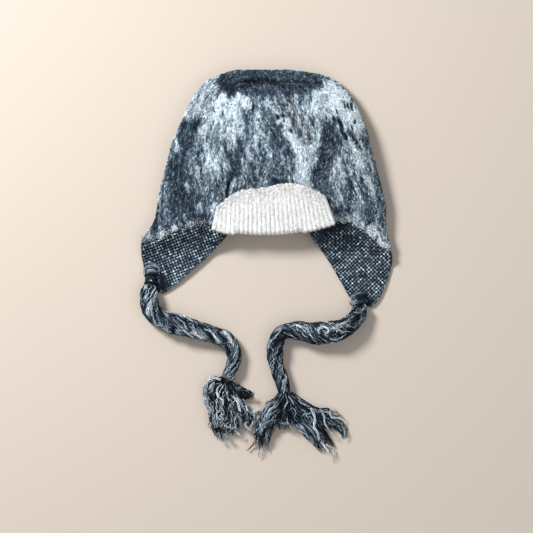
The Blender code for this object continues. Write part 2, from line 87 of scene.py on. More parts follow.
FRONT_RIM = [  # x, depth
    (-129.2, 179.0), (-120.8, 176.4), (-110.3, 173.3), (-99.8, 169.6),
    (-89.3, 165.9), (-76.7, 160.9), (-64.1, 159.3), (-55.7, 160.3),
    (-45.2, 163.1), (-34.7, 165.5), (-15.8, 167.2), (10.5, 167.7),
    (34.7, 165.1), (43.1, 163.0), (57.8, 159.2), (73.5, 156.5),
    (84.0, 156.0), (92.4, 158.4), (100.8, 163.3), (110.3, 171.2),
    (120.8, 180.1), (131.8, 188.0),
]
BACK_RIM = [  # x, depth
    (-129.2, 179.0), (-115.5, 176.9), (-89.3, 173.3), (-52.5, 170.1),
    (0.0, 168.5), (52.5, 170.1), (89.3, 174.3), (115.5, 181.1),
    (131.8, 188.0),
]
BRIM = [  # share, x_fold, y_fold, x_edge, y_edge
    (0.0, -55.7, -70.7, -50.9, -50.3), (0.1, -42.7, -75.5, -39.5, -40.2),
    (0.2, -29.7, -76.9, -27.9, -32.9), (0.3, -16.8, -78.1, -16.5, -31.1),
    (0.4, -3.8, -78.6, -4.9, -29.8), (0.5, 9.1, -78.5, 6.5, -27.3),
    (0.6, 22.1, -77.6, 18.0, -25.4), (0.7, 35.1, -75.8, 29.5, -24.8),
    (0.8, 48.0, -73.0, 41.0, -27.3), (0.9, 60.9, -69.8, 52.5, -32.3),
    (1.0, 73.9, -65.7, 63.9, -38.2),
]
LEFT_FLAP = [  # share, x, y, lift
    (0.00, -130.0, -91.4, 0.0), (0.10, -129.7, -98.7, 0.0),
    (0.20, -128.3, -107.1, 0.0), (0.30, -126.6, -115.5, 0.0),
    (0.38, -124.8, -122.6, 0.0), (0.43, -118.6, -125.6, 0.0),
    (0.48, -111.8, -130.0, 0.0), (0.52, -110.0, -136.5, 0.0),
    (0.56, -108.4, -140.4, 0.3), (0.62, -100.8, -136.0, 1.2),
    (0.70, -89.3, -127.1, 2.2), (0.78, -76.7, -115.9, 3.0),
    (0.86, -63.0, -104.0, 3.0), (0.93, -50.4, -91.0, 1.5),
    (1.00, -37.6, -77.0, 0.0),
]
RIGHT_FLAP = [  # share, x, y, lift
    (0.00, 132.8, -100.8, 0.0), (0.10, 133.4, -107.1, 0.0),
    (0.20, 131.6, -115.5, 0.0), (0.30, 128.6, -126.0, 0.0),
    (0.40, 123.9, -137.6, 0.6), (0.50, 117.6, -148.6, 0.9),
    (0.56, 111.6, -154.3, 0.4), (0.60, 107.8, -153.8, 0.0),
    (0.64, 105.6, -148.6, 0.0), (0.68, 98.0, -147.2, 0.0),
    (0.72, 91.8, -146.0, 0.3), (0.80, 81.4, -130.2, 1.2),
    (0.88, 70.4, -111.3, 1.6), (0.94, 58.8, -94.0, 0.8),
    (1.00, 45.2, -75.4, 0.0),
]
LEFT_SEAM, RIGHT_SEAM = (-128.6, -37.4), (131.2, 45.0)
LEFT_TIE = [  # x, y, width
    (-120.9, -131.2, 12.0), (-121.2, -134.8, 15.4), (-121.9, -140.6, 18.4),
    (-121.6, -148.0, 18.8), (-118.7, -157.4, 18.8), (-112.6, -164.8, 18.6),
    (-104.0, -169.4, 19.8), (-95.6, -171.8, 21.6), (-89.2, -173.8, 22.0),
    (-82.6, -175.4, 21.4), (-76.4, -176.8, 20.4), (-70.0, -179.4, 19.4),
    (-63.6, -181.0, 18.4), (-57.4, -182.4, 17.4), (-49.2, -184.9, 16.8),
    (-41.8, -188.7, 16.6), (-35.9, -194.4, 16.2), (-32.8, -201.8, 15.6),
    (-32.8, -210.0, 14.8), (-35.2, -218.4, 13.8), (-38.6, -226.0, 12.6),
    (-40.6, -231.0, 11.6),
]
RIGHT_TIE = [  # x, y, width
    (100.3, -152.2, 13.0), (99.6, -156.6, 15.0), (97.0, -163.4, 16.6),
    (91.6, -170.6, 18.6), (85.0, -175.8, 20.6), (76.8, -179.4, 22.0),
    (68.2, -181.4, 22.6), (59.8, -182.0, 23.0), (51.4, -181.6, 22.4),
    (43.0, -180.4, 20.8), (34.8, -179.2, 18.6), (27.4, -178.9, 17.0),
    (20.4, -180.2, 16.4), (14.9, -184.2, 16.0), (11.7, -190.4, 16.4),
    (10.8, -197.6, 16.4), (10.5, -206.0, 15.6), (11.8, -214.4, 15.0),
    (14.6, -223.6, 14.8), (17.4, -233.0, 14.4), (19.6, -240.6, 13.0),
    (21.6, -246.6, 12.0),
]
TIE_DIAMETER, TIE_POINTS = 17.0, 44

# ============================================================ the photo's folds
FOLDS = [  # px_from, py_from, px_to, py_to, half_width, height
    (221, 91, 232, 87, 2.6, -3.2), (232, 87, 242, 83.4, 2.6, -4.6),
    (242, 83.4, 261, 80.6, 2.6, -5.6), (261, 80.6, 282, 83.2, 2.6, -5.6),
    (282, 83.2, 302, 84.4, 2.6, -5.4), (302, 84.4, 319, 84.2, 2.6, -4.2),
    (319, 84.2, 334, 88, 3.0, -2.0),
    (228, 79, 262, 74.6, 4.5, 2.2), (262, 74.6, 300, 77.0, 4.5, 2.2),
    (300, 77.0, 322, 79.6, 4.0, 1.6),
    (326, 92, 344, 104, 8.0, 2.2), (212, 92, 203, 106, 6.0, 1.4),
    (240, 96, 246, 124, 9.0, 1.8), (216, 142, 222, 168, 10.0, 1.6),
    (273, 100, 303, 150, 7.0, 2.0), (306, 152, 304, 180, 8.0, 1.8),
    (258, 104, 248, 150, 5.0, -1.6), (262, 112, 285, 180, 6.0, -1.6),
    (229, 180, 225, 197, 2.2, -2.0), (326, 126, 334, 168, 7.0, -2.2),
    (334, 168, 350, 214, 8.0, -1.6), (184, 118, 174, 190, 9.0, -1.8),
    (196, 196, 182, 224, 6.0, -1.2), (338, 165, 344, 206, 4.0, 1.2),
    (352, 112, 372, 176, 6.0, 1.4), (350, 215, 388, 244, 3.6, 1.6),
    (343, 104, 348, 110, 1.8, -1.6), (350, 104, 355, 112, 1.8, -1.6),
    (276, 116, 280, 119, 1.6, -1.4),
]

# Light and dark strokes in the felt, charted and laid over each other in
# this order. Each runs from one place to another and fades over its half width.
STROKES = [  # px_from, py_from, px_to, py_to, half_width, tone, brown
    # broad ground
    (190, 120, 176, 190, 14, 0.24, 0.0), (182, 190, 186, 212, 16, 0.25, 0.0),
    (354, 126, 368, 170, 9, 0.58, 0.0), (356, 170, 368, 205, 8, 0.52, 0.0),
    (205, 184, 240, 186, 9, 0.35, 0.0), (165, 190, 158, 222, 7, 0.38, 0.0),
    (235, 145, 236, 176, 8, 0.33, 0.0), (262, 120, 286, 160, 8, 0.34, 0.0),
    (330, 130, 326, 165, 9, 0.28, 0.0), (345, 160, 362, 205, 13, 0.54, 0.0),
    (318, 175, 330, 200, 8, 0.29, 0.0), (352, 200, 376, 226, 12, 0.42, 0.0),
    (258, 170, 290, 178, 8, 0.36, 0.0), (205, 120, 214, 172, 13, 0.53, 0.1),
    # the left side: its lit upper edge, the grey-brown lock, the white patch
    (213, 82, 190, 112, 8, 0.70, 0.0), (188, 110, 184, 120, 4, 0.50, 0.0),
    (219, 87, 204, 112, 4.5, 0.50, 0.5), (217, 84, 208, 94, 2.6, 0.74, 0.0),
    (198, 122, 194, 128, 4, 0.16, 0.0), (186, 122, 184, 130, 4, 0.26, 0.0),
    (222, 104, 245, 101, 8, 0.78, 0.0), (222, 112, 243, 113, 9, 0.78, 0.0),
    (226, 121, 239, 127, 9, 0.84, 0.0), (248, 97, 249, 108, 4, 0.84, 0.0),
    (222, 98, 228, 104, 4, 0.72, 0.0), (229, 126, 228, 136, 5, 0.78, 0.2),
    (230, 137, 233, 150, 4, 0.78, 0.3), (241, 118, 240, 132, 4, 0.76, 0.0),
    (207, 108, 207, 132, 6, 0.66, 0.1), (213, 116, 212, 130, 5, 0.75, 0.0),
    (219, 127, 219, 132, 3, 0.34, 0.0), (222, 117, 222, 126, 3, 0.62, 0.2),
    (217, 136, 205, 150, 6, 0.58, 0.1), (207, 146, 211, 168, 6, 0.68, 0.0),
    (209, 154, 212, 166, 4.4, 0.74, 0.0), (220, 148, 226, 170, 4.5, 0.54, 0.1),
    (223, 144, 225, 152, 3, 0.36, 0.0), (203, 172, 224, 176, 5, 0.50, 0.0),
    (197, 166, 196, 172, 3.4, 0.50, 0.35), (201, 140, 201, 160, 3, 0.42, 0.0),
    (233, 152, 236, 176, 5, 0.28, 0.0), (240, 158, 241, 176, 3, 0.34, 0.0),
    (231, 174, 226, 196, 2.6, 0.08, 0.0), (235, 178, 231, 192, 1.8, 0.66, 0.0),
    (222, 188, 221, 197, 3, 0.54, 0.2), (208, 186, 206, 196, 2.4, 0.60, 0.0),
    # between the patches
    (247, 112, 248, 126, 4, 0.33, 0.0), (253, 97, 253, 118, 2.6, 0.36, 0.0),
    (257, 100, 259, 112, 3, 0.46, 0.0), (257, 112, 258, 138, 4, 0.70, 0.0),
    (246, 132, 247, 146, 3.6, 0.68, 0.0), (248, 144, 251, 158, 3.4, 0.78, 0.0),
    (244, 160, 248, 176, 2.4, 0.56, 0.0), (253, 160, 256, 176, 3, 0.62, 0.0),
    (254, 136, 255, 150, 2.2, 0.40, 0.0), (250, 163, 252, 170, 2, 0.34, 0.0),
    (262, 126, 268, 148, 3.4, 0.64, 0.0), (270, 138, 272, 156, 2.8, 0.66, 0.0),
    (262, 158, 265, 176, 3, 0.52, 0.0), (270, 166, 268, 180, 3, 0.48, 0.0),
    (267, 106, 277, 128, 4, 0.33, 0.0), (277, 130, 288, 152, 5, 0.27, 0.0),
    (289, 154, 293, 172, 5, 0.31, 0.0), (277, 152, 276, 172, 3, 0.30, 0.0),
    (282, 150, 286, 168, 2.4, 0.52, 0.0), (272, 178, 279, 182, 4, 0.20, 0.0),
    (283, 176, 296, 181, 4, 0.50, 0.0), (242, 180, 262, 180, 4, 0.42, 0.0),
    # the two locks that meet over the brim
    (267, 94, 272, 108, 4, 0.63, 0.0), (272, 104, 283, 118, 4.6, 0.61, 0.3),
    (281, 118, 288, 134, 5, 0.70, 0.2), (290, 134, 298, 148, 5.4, 0.70, 0.1),
    (298, 146, 308, 156, 6.4, 0.77, 0.1), (308, 153, 305, 178, 9.5, 0.79, 0.0),
    (307, 164, 304, 180, 4.6, 0.86, 0.0), (314, 146, 312, 164, 4.6, 0.76, 0.0),
    (298, 178, 306, 184, 4, 0.80, 0.0), (291, 98, 296, 124, 4.6, 0.40, 0.55),
    (301, 118, 308, 140, 4.6, 0.48, 0.45), (295, 98, 300, 122, 3.8, 0.66, 0.0),
    (304, 98, 308, 122, 3.8, 0.75, 0.0), (312, 100, 314, 116, 3, 0.60, 0.0),
    (309, 132, 308, 140, 2.6, 0.46, 0.3), (320, 110, 319, 128, 4.6, 0.76, 0.0),
    (319, 128, 317, 148, 4.2, 0.77, 0.0), (308, 120, 312, 134, 3.2, 0.70, 0.0),
    # the right side: the white corner, its slanting streaks, the dark wedge
    (322, 96, 342, 101, 9, 0.86, 0.0), (330, 86, 343, 97, 7, 0.90, 0.0),
    (320, 106, 334, 111, 7, 0.84, 0.0), (320, 89, 316, 103, 5, 0.74, 0.0),
    (338, 108, 356, 118, 6, 0.90, 0.0), (350, 118, 357, 127, 4, 0.90, 0.0), (353, 110, 360, 130, 4.8, 0.94, 0.0),
    (344, 118, 348, 128, 4, 0.88, 0.0), (331, 112, 338, 122, 3, 0.66, 0.0),
    (328, 126, 330, 134, 3.2, 0.26, 0.0), (327, 132, 337, 148, 4, 0.27, 0.0),
    (324, 150, 322, 172, 5, 0.28, 0.0), (334, 118, 352, 146, 2.8, 0.62, 0.0),
    (339, 122, 346, 134, 2.2, 0.22, 0.0), (350, 130, 358, 138, 2.4, 0.34, 0.0),
    (344, 144, 356, 170, 3.4, 0.62, 0.0), (350, 138, 360, 154, 3.2, 0.76, 0.0),
    (354, 150, 362, 164, 3.8, 0.84, 0.0), (361, 160, 372, 192, 3.8, 0.74, 0.0),
    (362, 142, 367, 156, 2.8, 0.74, 0.2), (340, 152, 352, 178, 2, 0.30, 0.0),
    (333, 162, 329, 180, 2.8, 0.62, 0.25), (329, 180, 335, 202, 3, 0.60, 0.0),
    (336, 160, 339, 200, 4.4, 0.66, 0.1), (341, 166, 345, 188, 3.6, 0.74, 0.0),
    (344, 186, 340, 206, 2.6, 0.56, 0.0), (350, 166, 357, 194, 3.2, 0.62, 0.0),
    (347, 180, 349, 200, 2, 0.30, 0.0), (361, 180, 366, 200, 2.4, 0.30, 0.0),
    (356, 196, 360, 206, 2.4, 0.46, 0.0), (378, 208, 376, 222, 2.8, 0.60, 0.0),
    # the stroke from (340, 210) to (346, 216) is painted shadow cast by the brim's right end
    (364, 208, 374, 212, 3, 0.44, 0.0), (340, 210, 346, 216, 4, 0.24, 0.0),
    # along the rim
    (352, 216, 358, 222, 3, 0.80, 0.0), (362, 224, 372, 228, 3, 0.72, 0.0),
    (371, 226, 379, 237, 3.0, 0.80, 0.0), (380, 240, 388, 247, 2.8, 0.78, 0.0),
    (382, 224, 386, 238, 3, 0.56, 0.0), (200, 205, 201, 210, 3.8, 0.80, 0.0),
    (184, 216, 188, 222, 3.4, 0.78, 0.0), (166, 213, 168, 216, 2.4, 0.64, 0.0),
    (187, 185, 189, 187, 3, 0.50, 0.1), (172, 222, 176, 230, 3, 0.52, 0.0),
    (214, 214, 216, 205, 2.4, 0.84, 0.0), (192, 220, 206, 216, 4, 0.20, 0.0),
    (180, 229, 188, 226, 3, 0.16, 0.0), (173, 143, 178, 150, 3, 0.62, 0.0),
    (180, 152, 184, 162, 4, 0.24, 0.0), (174, 163, 178, 172, 3, 0.22, 0.0),
    (188, 152, 192, 158, 2.6, 0.44, 0.0),
    # the rolled top edge, darker in part from painted shade where it turns away, its black crease, painted shade over
    # dark wool, and the slate just under it
    (224, 78, 262, 74, 6, 0.21, 0.0), (262, 74, 318, 78, 6, 0.25, 0.0),
    (246, 90, 300, 91, 5.5, 0.26, 0.0), (300, 88, 318, 86, 4, 0.27, 0.0),
    (284, 90, 292, 96, 3, 0.22, 0.0), (222, 82, 231, 92, 5, 0.06, 0.0),
    (230, 90, 245, 84, 4.6, 0.06, 0.0), (244, 83, 262, 81, 3.4, 0.05, 0.0),
    (262, 81, 284, 84, 3.4, 0.06, 0.0), (284, 84, 308, 85, 3.4, 0.08, 0.0),
    (308, 85, 320, 84, 3, 0.18, 0.0),
]
# Black gaps between the stitches, painted shade in the holes.
GAPS = [  # px, py, half_w, half_h, lean
    (344.4, 105, 1.0, 3.4, 16), (347.8, 106, 0.9, 2.8, 16), (351.4, 107, 1.1, 3.8, 16),
    (278, 117, 1.9, 2.4, 20), (283, 116, 1.5, 2.2, 20), (291, 131, 1.4, 2.2, 20),
    (341, 124, 1.3, 5.6, 28), (334, 119, 1.2, 3.4, 20), (355, 122, 1.2, 2.0, 0),
    (253, 107, 1.0, 4.0, 0), (185, 124, 1.4, 2.6, 0), (196, 125, 2.4, 3.0, 0),
    (176, 167, 1.5, 2.2, 0), (276, 181, 3.6, 2.0, 0), (228, 188, 1.5, 6.0, -14),
    (184, 154, 1.6, 2.6, 0), (181, 231, 3.0, 1.8, 20), (170, 233, 2.2, 1.4, 20),
    (158, 237, 2.2, 1.3, 0), (376, 237, 2.0, 1.6, 0), (366, 226, 2.4, 1.4, 30),
    (342, 132, 1.2, 4.2, 24), (346, 136, 1.0, 3.0, 20), (352, 128, 1.0, 2.4, 20), (363, 119, 1.2, 2.6, 20),
    (366, 128, 1.0, 2.2, 20), (284, 121, 1.0, 2.0, 20), (337, 112, 0.9, 2.4, 20), (370, 222, 2.0, 1.2, 30),
    (384, 240, 1.6, 1.0, 30), (360, 221, 1.8, 1.0, 30), (164, 236, 1.8, 1.0, 20), (200, 223, 2.0, 1.2, 10),
    (206, 219, 3.0, 1.6, 0), (148, 239, 2.0, 1.4, 0), (192, 225, 2.6, 1.6, 0),
]

# The wool's colours from black gap to white tuft, in the photo's own values.
TONES = [  # tone, red, green, blue
    (0.0, 7, 11, 17), (0.12, 23, 33, 44), (0.25, 45, 60, 75), (0.36, 71, 88, 103), (0.48, 102, 119, 133),
    (0.6, 139, 156, 168), (0.72, 174, 188, 197), (0.84, 206, 217, 223), (1.0, 243, 247, 249),
]
BROWN = (140, 133, 130)
FELT_TINT = np.array([0.985, 1.04, 1.085])       # the felt is a little bluer than the yarns


# ============================================================ small tools
def linear(c):
    c = np.asarray(c, float) / 255
    return np.where(c <= 0.04045, c / 12.92, ((c + 0.055) / 1.055) ** 2.4)


_tones = np.array(TONES, float)
_tone_rgb = linear(_tones[:, 1:])
_brown_rgb = linear(BROWN)


def wool(tone, brown=0.0):
    """The linear colour of wool of a tone from 0 to 1."""
    tone = np.clip(tone, 0, 1)
    rgb = np.stack([np.interp(tone, _tones[:, 0], _tone_rgb[:, k]) for k in range(3)], -1)
    grey = rgb.mean(-1, keepdims=True) / _brown_rgb.mean()
    b = np.clip(np.broadcast_to(brown, tone.shape), 0, 1)[..., None]
    return rgb * (1 - b) + _brown_rgb * grey * b


def through(xs, ys):
    xs, ys = np.asarray(xs, float), np.asarray(ys, float)
    h = np.diff(xs)
    d = np.diff(ys) / h
    m = np.zeros(len(xs))
    m[0], m[-1] = d[0], d[-1]
    for i in range(1, len(xs) - 1):
        if d[i - 1] * d[i] > 0:
            w1, w2 = 2 * h[i] + h[i - 1], h[i] + 2 * h[i - 1]
            m[i] = (w1 + w2) / (w1 / d[i - 1] + w2 / d[i])

    def curve(x):
        x = np.clip(np.asarray(x, float), xs[0], xs[-1])
        i = np.clip(np.searchsorted(xs, x) - 1, 0, len(xs) - 2)
        t = (x - xs[i]) / h[i]
        return ((2 * t**3 - 3 * t**2 + 1) * ys[i] + (t**3 - 2 * t**2 + t) * h[i] * m[i]
                + (-2 * t**3 + 3 * t**2) * ys[i + 1] + (t**3 - t**2) * h[i] * m[i + 1])

    return curve


def columns(table, *which):
    return [np.array([row[i] for row in table], float) for i in which]


def step(x, low=0.0, high=1.0):
    x = np.clip((np.asarray(x, float) - low) / (high - low), 0, 1)
    return x * x * (3 - 2 * x)


def unit(v):
    return v / np.maximum(np.linalg.norm(v, axis=-1, keepdims=True), 1e-9)


def spline_points(rows, count):
    p = np.array(rows, float)
    p = np.vstack([2 * p[0] - p[1], p, 2 * p[-1] - p[-2]])
    t = np.linspace(0, 1, 24, endpoint=False)[:, None]
    fine = [0.5 * (2 * p[i] + (p[i + 1] - p[i - 1]) * t
                   + (2 * p[i - 1] - 5 * p[i] + 4 * p[i + 1] - p[i + 2]) * t**2
                   + (3 * p[i] - p[i - 1] - 3 * p[i + 1] + p[i + 2]) * t**3)
            for i in range(1, len(p) - 2)]
    fine = np.vstack(fine + [p[-2:-1]])
    along = np.concatenate([[0], np.cumsum(np.linalg.norm(np.diff(fine[:, :2], axis=0), axis=1))])
    where = np.linspace(0, along[-1], count)
    return np.stack([np.interp(where, along, fine[:, k]) for k in range(p.shape[1])], 1)


def _hash(i, j, k, seed):
    mask = np.uint64(0xFFFFFFFF)
    h = (i.astype(np.uint64) * np.uint64(374761393) + j.astype(np.uint64) * np.uint64(668265263)
         + k.astype(np.uint64) * np.uint64(2246822519)
         + np.full(i.shape, seed * 3266489917 % 4294967296, np.uint64)) & mask
    h = ((h ^ (h >> np.uint64(15))) * np.uint64(2246822519)) & mask
    h = ((h ^ (h >> np.uint64(13))) * np.uint64(3266489917)) & mask
    h ^= h >> np.uint64(16)
    return h.astype(float) / 4294967295.0


def noise(x, y, z=0.0, seed=0):
    """Smooth noise from -1 to 1 with a feature in each unit."""
    x, y, z = np.broadcast_arrays(np.asarray(x, float), np.asarray(y, float), np.asarray(z, float))
    xi, yi, zi = (np.floor(c).astype(np.int64) for c in (x, y, z))
    u, v, w = x - xi, y - yi, z - zi
    u, v, w = (c * c * (3 - 2 * c) for c in (u, v, w))
    total = np.zeros(x.shape)
    for a in (0, 1):
        for b in (0, 1):
            for c in (0, 1):
                part = _hash(xi + a, yi + b, zi + c, seed)
                total += part * (u if a else 1 - u) * (v if b else 1 - v) * (w if c else 1 - w)
    return total * 2 - 1


def layers(x, y, z=0.0, octaves=3, seed=0):
    total, size, whole = 0.0, 1.0, 0.0
    for o in range(octaves):
        total = total + size * noise(np.asarray(x) * 2**o, np.asarray(y) * 2**o,
                                     np.asarray(z) * 2**o, seed + 31 * o)
        whole += size
        size *= 0.55
    return total / whole


# ============================================================ mesh tools
def make_piece(name, points, quads, tris, colours, stuff, smooth=True):
    mesh = bpy.data.meshes.new(name)
    quads = np.asarray(quads, np.int64).reshape(-1, 4)
    tris = np.asarray(tris, np.int64).reshape(-1, 3)
    mesh.vertices.add(len(points))
    mesh.vertices.foreach_set("co", (np.asarray(points, float) * MM).astype(np.float32).ravel())
    loops = np.concatenate([quads.ravel(), tris.ravel()])
    starts = np.concatenate([np.arange(len(quads)) * 4, len(quads) * 4 + np.arange(len(tris)) * 3])
    mesh.loops.add(len(loops))
    mesh.loops.foreach_set("vertex_index", loops.astype(np.int32))
    mesh.polygons.add(len(starts))
    mesh.polygons.foreach_set("loop_start", starts.astype(np.int32))
    mesh.update(calc_edges=True)
    mesh.validate()
    paint = mesh.color_attributes.new(name="Yarn", type="FLOAT_COLOR", domain="POINT")
    rgba = np.ones((len(points), 4), np.float32)
    rgba[:, :3] = np.clip(colours, 0, 1)
    paint.data.foreach_set("color", rgba.ravel())
    if smooth:
        mesh.shade_smooth()
    piece = bpy.data.objects.new(name, mesh)
    bpy.context.scene.collection.objects.link(piece)
    mesh.materials.append(stuff)
    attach(piece, "root")
    return piece


def carried(paths):
    """Side and up vectors carried along each path without twisting."""
    tangent = unit(np.gradient(paths, axis=1))
    count = paths.shape[1]
    up = np.zeros_like(paths)
    start = np.where(np.abs(tangent[:, 0, 2:3]) > 0.8, [[1.0, 0, 0]], [[0.0, 0, 1]])
    up[:, 0] = unit(start - (start * tangent[:, 0]).sum(-1, keepdims=True) * tangent[:, 0])
    for i in range(1, count):
        held = up[:, i - 1]
        up[:, i] = unit(held - (held * tangent[:, i]).sum(-1, keepdims=True) * tangent[:, i])
    return np.cross(tangent, up), up


def tube_parts(paths, radii, sides, colours, squash=1.0):
    """Closed round strands along paths (strand, point, xyz)."""
    paths = np.asarray(paths, float)
    n, m = paths.shape[:2]
    side, up = carried(paths)
    a = (np.arange(sides) + 0.5) * 2 * math.pi / sides
    ring = (side[:, :, None] * np.cos(a)[None, None, :, None]
            + up[:, :, None] * (squash * np.sin(a))[None, None, :, None])
    points = paths[:, :, None] + ring * np.asarray(radii)[:, :, None, None]
    base = (np.arange(n) * m * sides)[:, None, None]
    i = (np.arange(m - 1) * sides)[None, :, None]
    k = np.arange(sides)[None, None, :]
    k2 = (k + 1) % sides
    a0, a1 = base + i + k, base + i + k2
    quads = np.stack([a0, a0 + sides, a1 + sides, a1], -1).reshape(-1, 4)
    tris = []
    first, last = (np.arange(n) * m * sides), (np.arange(n) * m * sides + (m - 1) * sides)
    for j in range(1, sides - 1):
        tris.append(np.stack([first, first + j, first + j + 1], -1))
        tris.append(np.stack([last, last + j + 1, last + j], -1))
    shades = np.broadcast_to(np.asarray(colours, float).reshape(n, -1, 3), (n, m, 3))
    shades = np.repeat(shades[:, :, None], sides, 2).reshape(-1, 3)
    return points.reshape(-1, 3), quads, np.concatenate(tris), shades


def joined(*parts):
    points, quads, tris, shades, at_ = [], [], [], [], 0
    for p, q, t, c in parts:
        points.append(p)
        quads.append(np.asarray(q, np.int64).reshape(-1, 4) + at_)
        tris.append(np.asarray(t, np.int64).reshape(-1, 3) + at_)
        shades.append(c)
        at_ += len(p)
    return np.vstack(points), np.vstack(quads), np.vstack(tris), np.vstack(shades)


def spindle_parts(paths, widths, colours, normals):
    """Closed three-sided fibres, thickest half way and pointed at both ends."""
    n = len(paths)
    tangent = unit(paths[:, 3] - paths[:, 0])
    side = unit(np.cross(tangent, normals))
    up = np.cross(side, tangent)
    points = np.zeros((n, 5, 3))
    points[:, 0], points[:, 4] = paths[:, 0], paths[:, 3]
    middle_ = (paths[:, 1] + paths[:, 2]) / 2
    for k in range(3):
        a = 2 * math.pi * k / 3 + math.pi / 2
        points[:, 1 + k] = middle_ + (side * math.cos(a) + up * math.sin(a)) * (widths * 1.3)[:, None]
    three = [(0, 1, 2), (0, 2, 3), (0, 3, 1), (4, 2, 1), (4, 3, 2), (4, 1, 3)]
    tris = (np.array(three)[None] + (np.arange(n) * 5)[:, None, None]).reshape(-1, 3)
    shades = np.repeat(colours[:, None], 5, 1).reshape(-1, 3)
    return points.reshape(-1, 3), np.zeros((0, 4), int), tris, shades


def grid_faces(rows, cols, wrap=False, flip=False, start=0):
    r, c = np.meshgrid(np.arange(rows - 1), np.arange(cols if wrap else cols - 1), indexing="ij")
    c2 = (c + 1) % cols
    a, b = start + r * cols + c, start + r * cols + c2
    quads = np.stack([a, b, b + cols, a + cols], -1).reshape(-1, 4)
    return quads[:, ::-1] if flip else quads


# ============================================================ materials
def wool_material(name, grain=900.0, relief=0.25, spread=0.25, rough=0.9, fuzz=0.3,
                  stretch=(1.0, 1.0, 1.0), tint=(0.9, 0.95, 1.0)):
    """Matt wool: the painted yarn colour, broken up by fine fibre noise."""
    stuff = bpy.data.materials.new(name)
    stuff.use_nodes = True
    tree = stuff.node_tree
    new, link = tree.nodes.new, tree.links.new
    shader = tree.nodes["Principled BSDF"]
    shader.inputs["Roughness"].default_value = rough
    shader.inputs["Specular IOR Level"].default_value = 0.18
    shader.inputs["Sheen Weight"].default_value = fuzz
    shader.inputs["Sheen Roughness"].default_value = 0.55
    shader.inputs["Sheen Tint"].default_value = (*tint, 1.0)
    place = new("ShaderNodeTexCoord")
    turn = new("ShaderNodeMapping")
    turn.inputs["Scale"].default_value = stretch
    link(place.outputs["Object"], turn.inputs["Vector"])
    fine = new("ShaderNodeTexNoise")
    fine.inputs["Scale"].default_value = grain
    fine.inputs["Detail"].default_value = 3.0
    fine.inputs["Roughness"].default_value = 0.6
    link(turn.outputs["Vector"], fine.inputs["Vector"])
    spin = new("ShaderNodeTexNoise")
    spin.inputs["Scale"].default_value = grain * 0.35
    spin.inputs["Detail"].default_value = 2.0
    link(turn.outputs["Vector"], spin.inputs["Vector"])
    yarn = new("ShaderNodeAttribute")
    yarn.attribute_name = "Yarn"
    gain = new("ShaderNodeMapRange")
    gain.inputs["From Min"].default_value, gain.inputs["From Max"].default_value = 0.3, 0.7
    gain.inputs["To Min"].default_value, gain.inputs["To Max"].default_value = 1 - spread, 1 + spread
    link(fine.outputs["Fac"], gain.inputs["Value"])
    grow = new("ShaderNodeVectorMath")
    grow.operation = "SCALE"
    link(yarn.outputs["Color"], grow.inputs[0])
    link(gain.outputs["Result"], grow.inputs["Scale"])
    link(grow.outputs["Vector"], shader.inputs["Base Color"])
    both = new("ShaderNodeMath")
    both.operation = "ADD"
    link(fine.outputs["Fac"], both.inputs[0])
    link(spin.outputs["Fac"], both.inputs[1])
    bump = new("ShaderNodeBump")
    bump.inputs["Strength"].default_value = relief
    bump.inputs["Distance"].default_value = 0.0006
    link(both.outputs["Value"], bump.inputs["Height"])
    link(bump.outputs["Normal"], shader.inputs["Normal"])
    return stuff


# ============================================================ crown shape
_depth, _left, _right = columns(OUTLINE, 0, 1, 2)
x_left, x_right = through(np.sqrt(_depth), _left), through(np.sqrt(_depth), _right)
_sd, _sz, _rise, _drop = columns(SECTIONS, 0, 1, 2, 3)
side_z, rise, drop = (through(np.sqrt(_sd), c) for c in (_sz, _rise, _drop))


def middle(depth):
    s = np.sqrt(np.maximum(depth, 0))
    return (x_left(s) + x_right(s)) / 2, (x_right(s) - x_left(s)) / 2


def rim_by_share(table):
    x, d = columns(table, 0, 1)
    centre, half = middle(d)
    share = (x - centre) / half
    share[0], share[-1] = -1.0, 1.0
    return through(share, d)


front_rim, back_rim = rim_by_share(FRONT_RIM), rim_by_share(BACK_RIM)


def fold_height(x, y):
    px, py = to_px(x, y)
    low, high = np.zeros(np.shape(px)), np.zeros(np.shape(px))
    for x0, y0, x1, y1, half, height in FOLDS:
        run = np.array([x1 - x0, y1 - y0], float)
        t = np.clip(((px - x0) * run[0] + (py - y0) * run[1]) / (run @ run), 0, 1)
        away = np.hypot(px - x0 - t * run[0], py - y0 - t * run[1])
        part = height * np.exp(-((away / half) ** 2))
        low, high = np.minimum(low, part), np.maximum(high, part)
    return low + high


def top_z(x, depth):
    centre, half = middle(depth)
    s = np.sqrt(np.maximum(depth, 0))
    share = np.clip(np.abs(x - centre) / np.maximum(half, 1e-6), 0, 1)
    bulge = (1 - share**SIDE_POWER) ** (1 / TOP_POWER)
    return side_z(s) + (rise(s) + fold_height(x, TOP_Y - depth)) * bulge


def crown_point(turn, depth_at_rim_middle):
    c, s = np.cos(turn), np.sin(turn)
    front = s >= 0
    power = np.where(front, SIDE_POWER, BACK_SIDE_POWER)
    share = np.sign(c) * np.abs(c) ** (2 / power)
    rim = np.where(front, front_rim(share), back_rim(share))
    follow = step((depth_at_rim_middle - 70) / (RIM_DEPTH - 70))
    depth = depth_at_rim_middle + (rim - RIM_DEPTH) * follow
    root = np.sqrt(np.maximum(depth, 0))
    centre, half = middle(depth)
    x = centre + half * share
    high = np.abs(s) ** (2 / TOP_POWER)
    low = np.abs(s) ** (2 / BACK_POWER)
    z_front = side_z(root) + (rise(root) + fold_height(x, TOP_Y - depth)) * high
    z_back = np.maximum(0.0, side_z(root) - drop(root) * low)
    return np.stack([x, TOP_Y - depth, np.where(front, z_front, z_back)], -1)


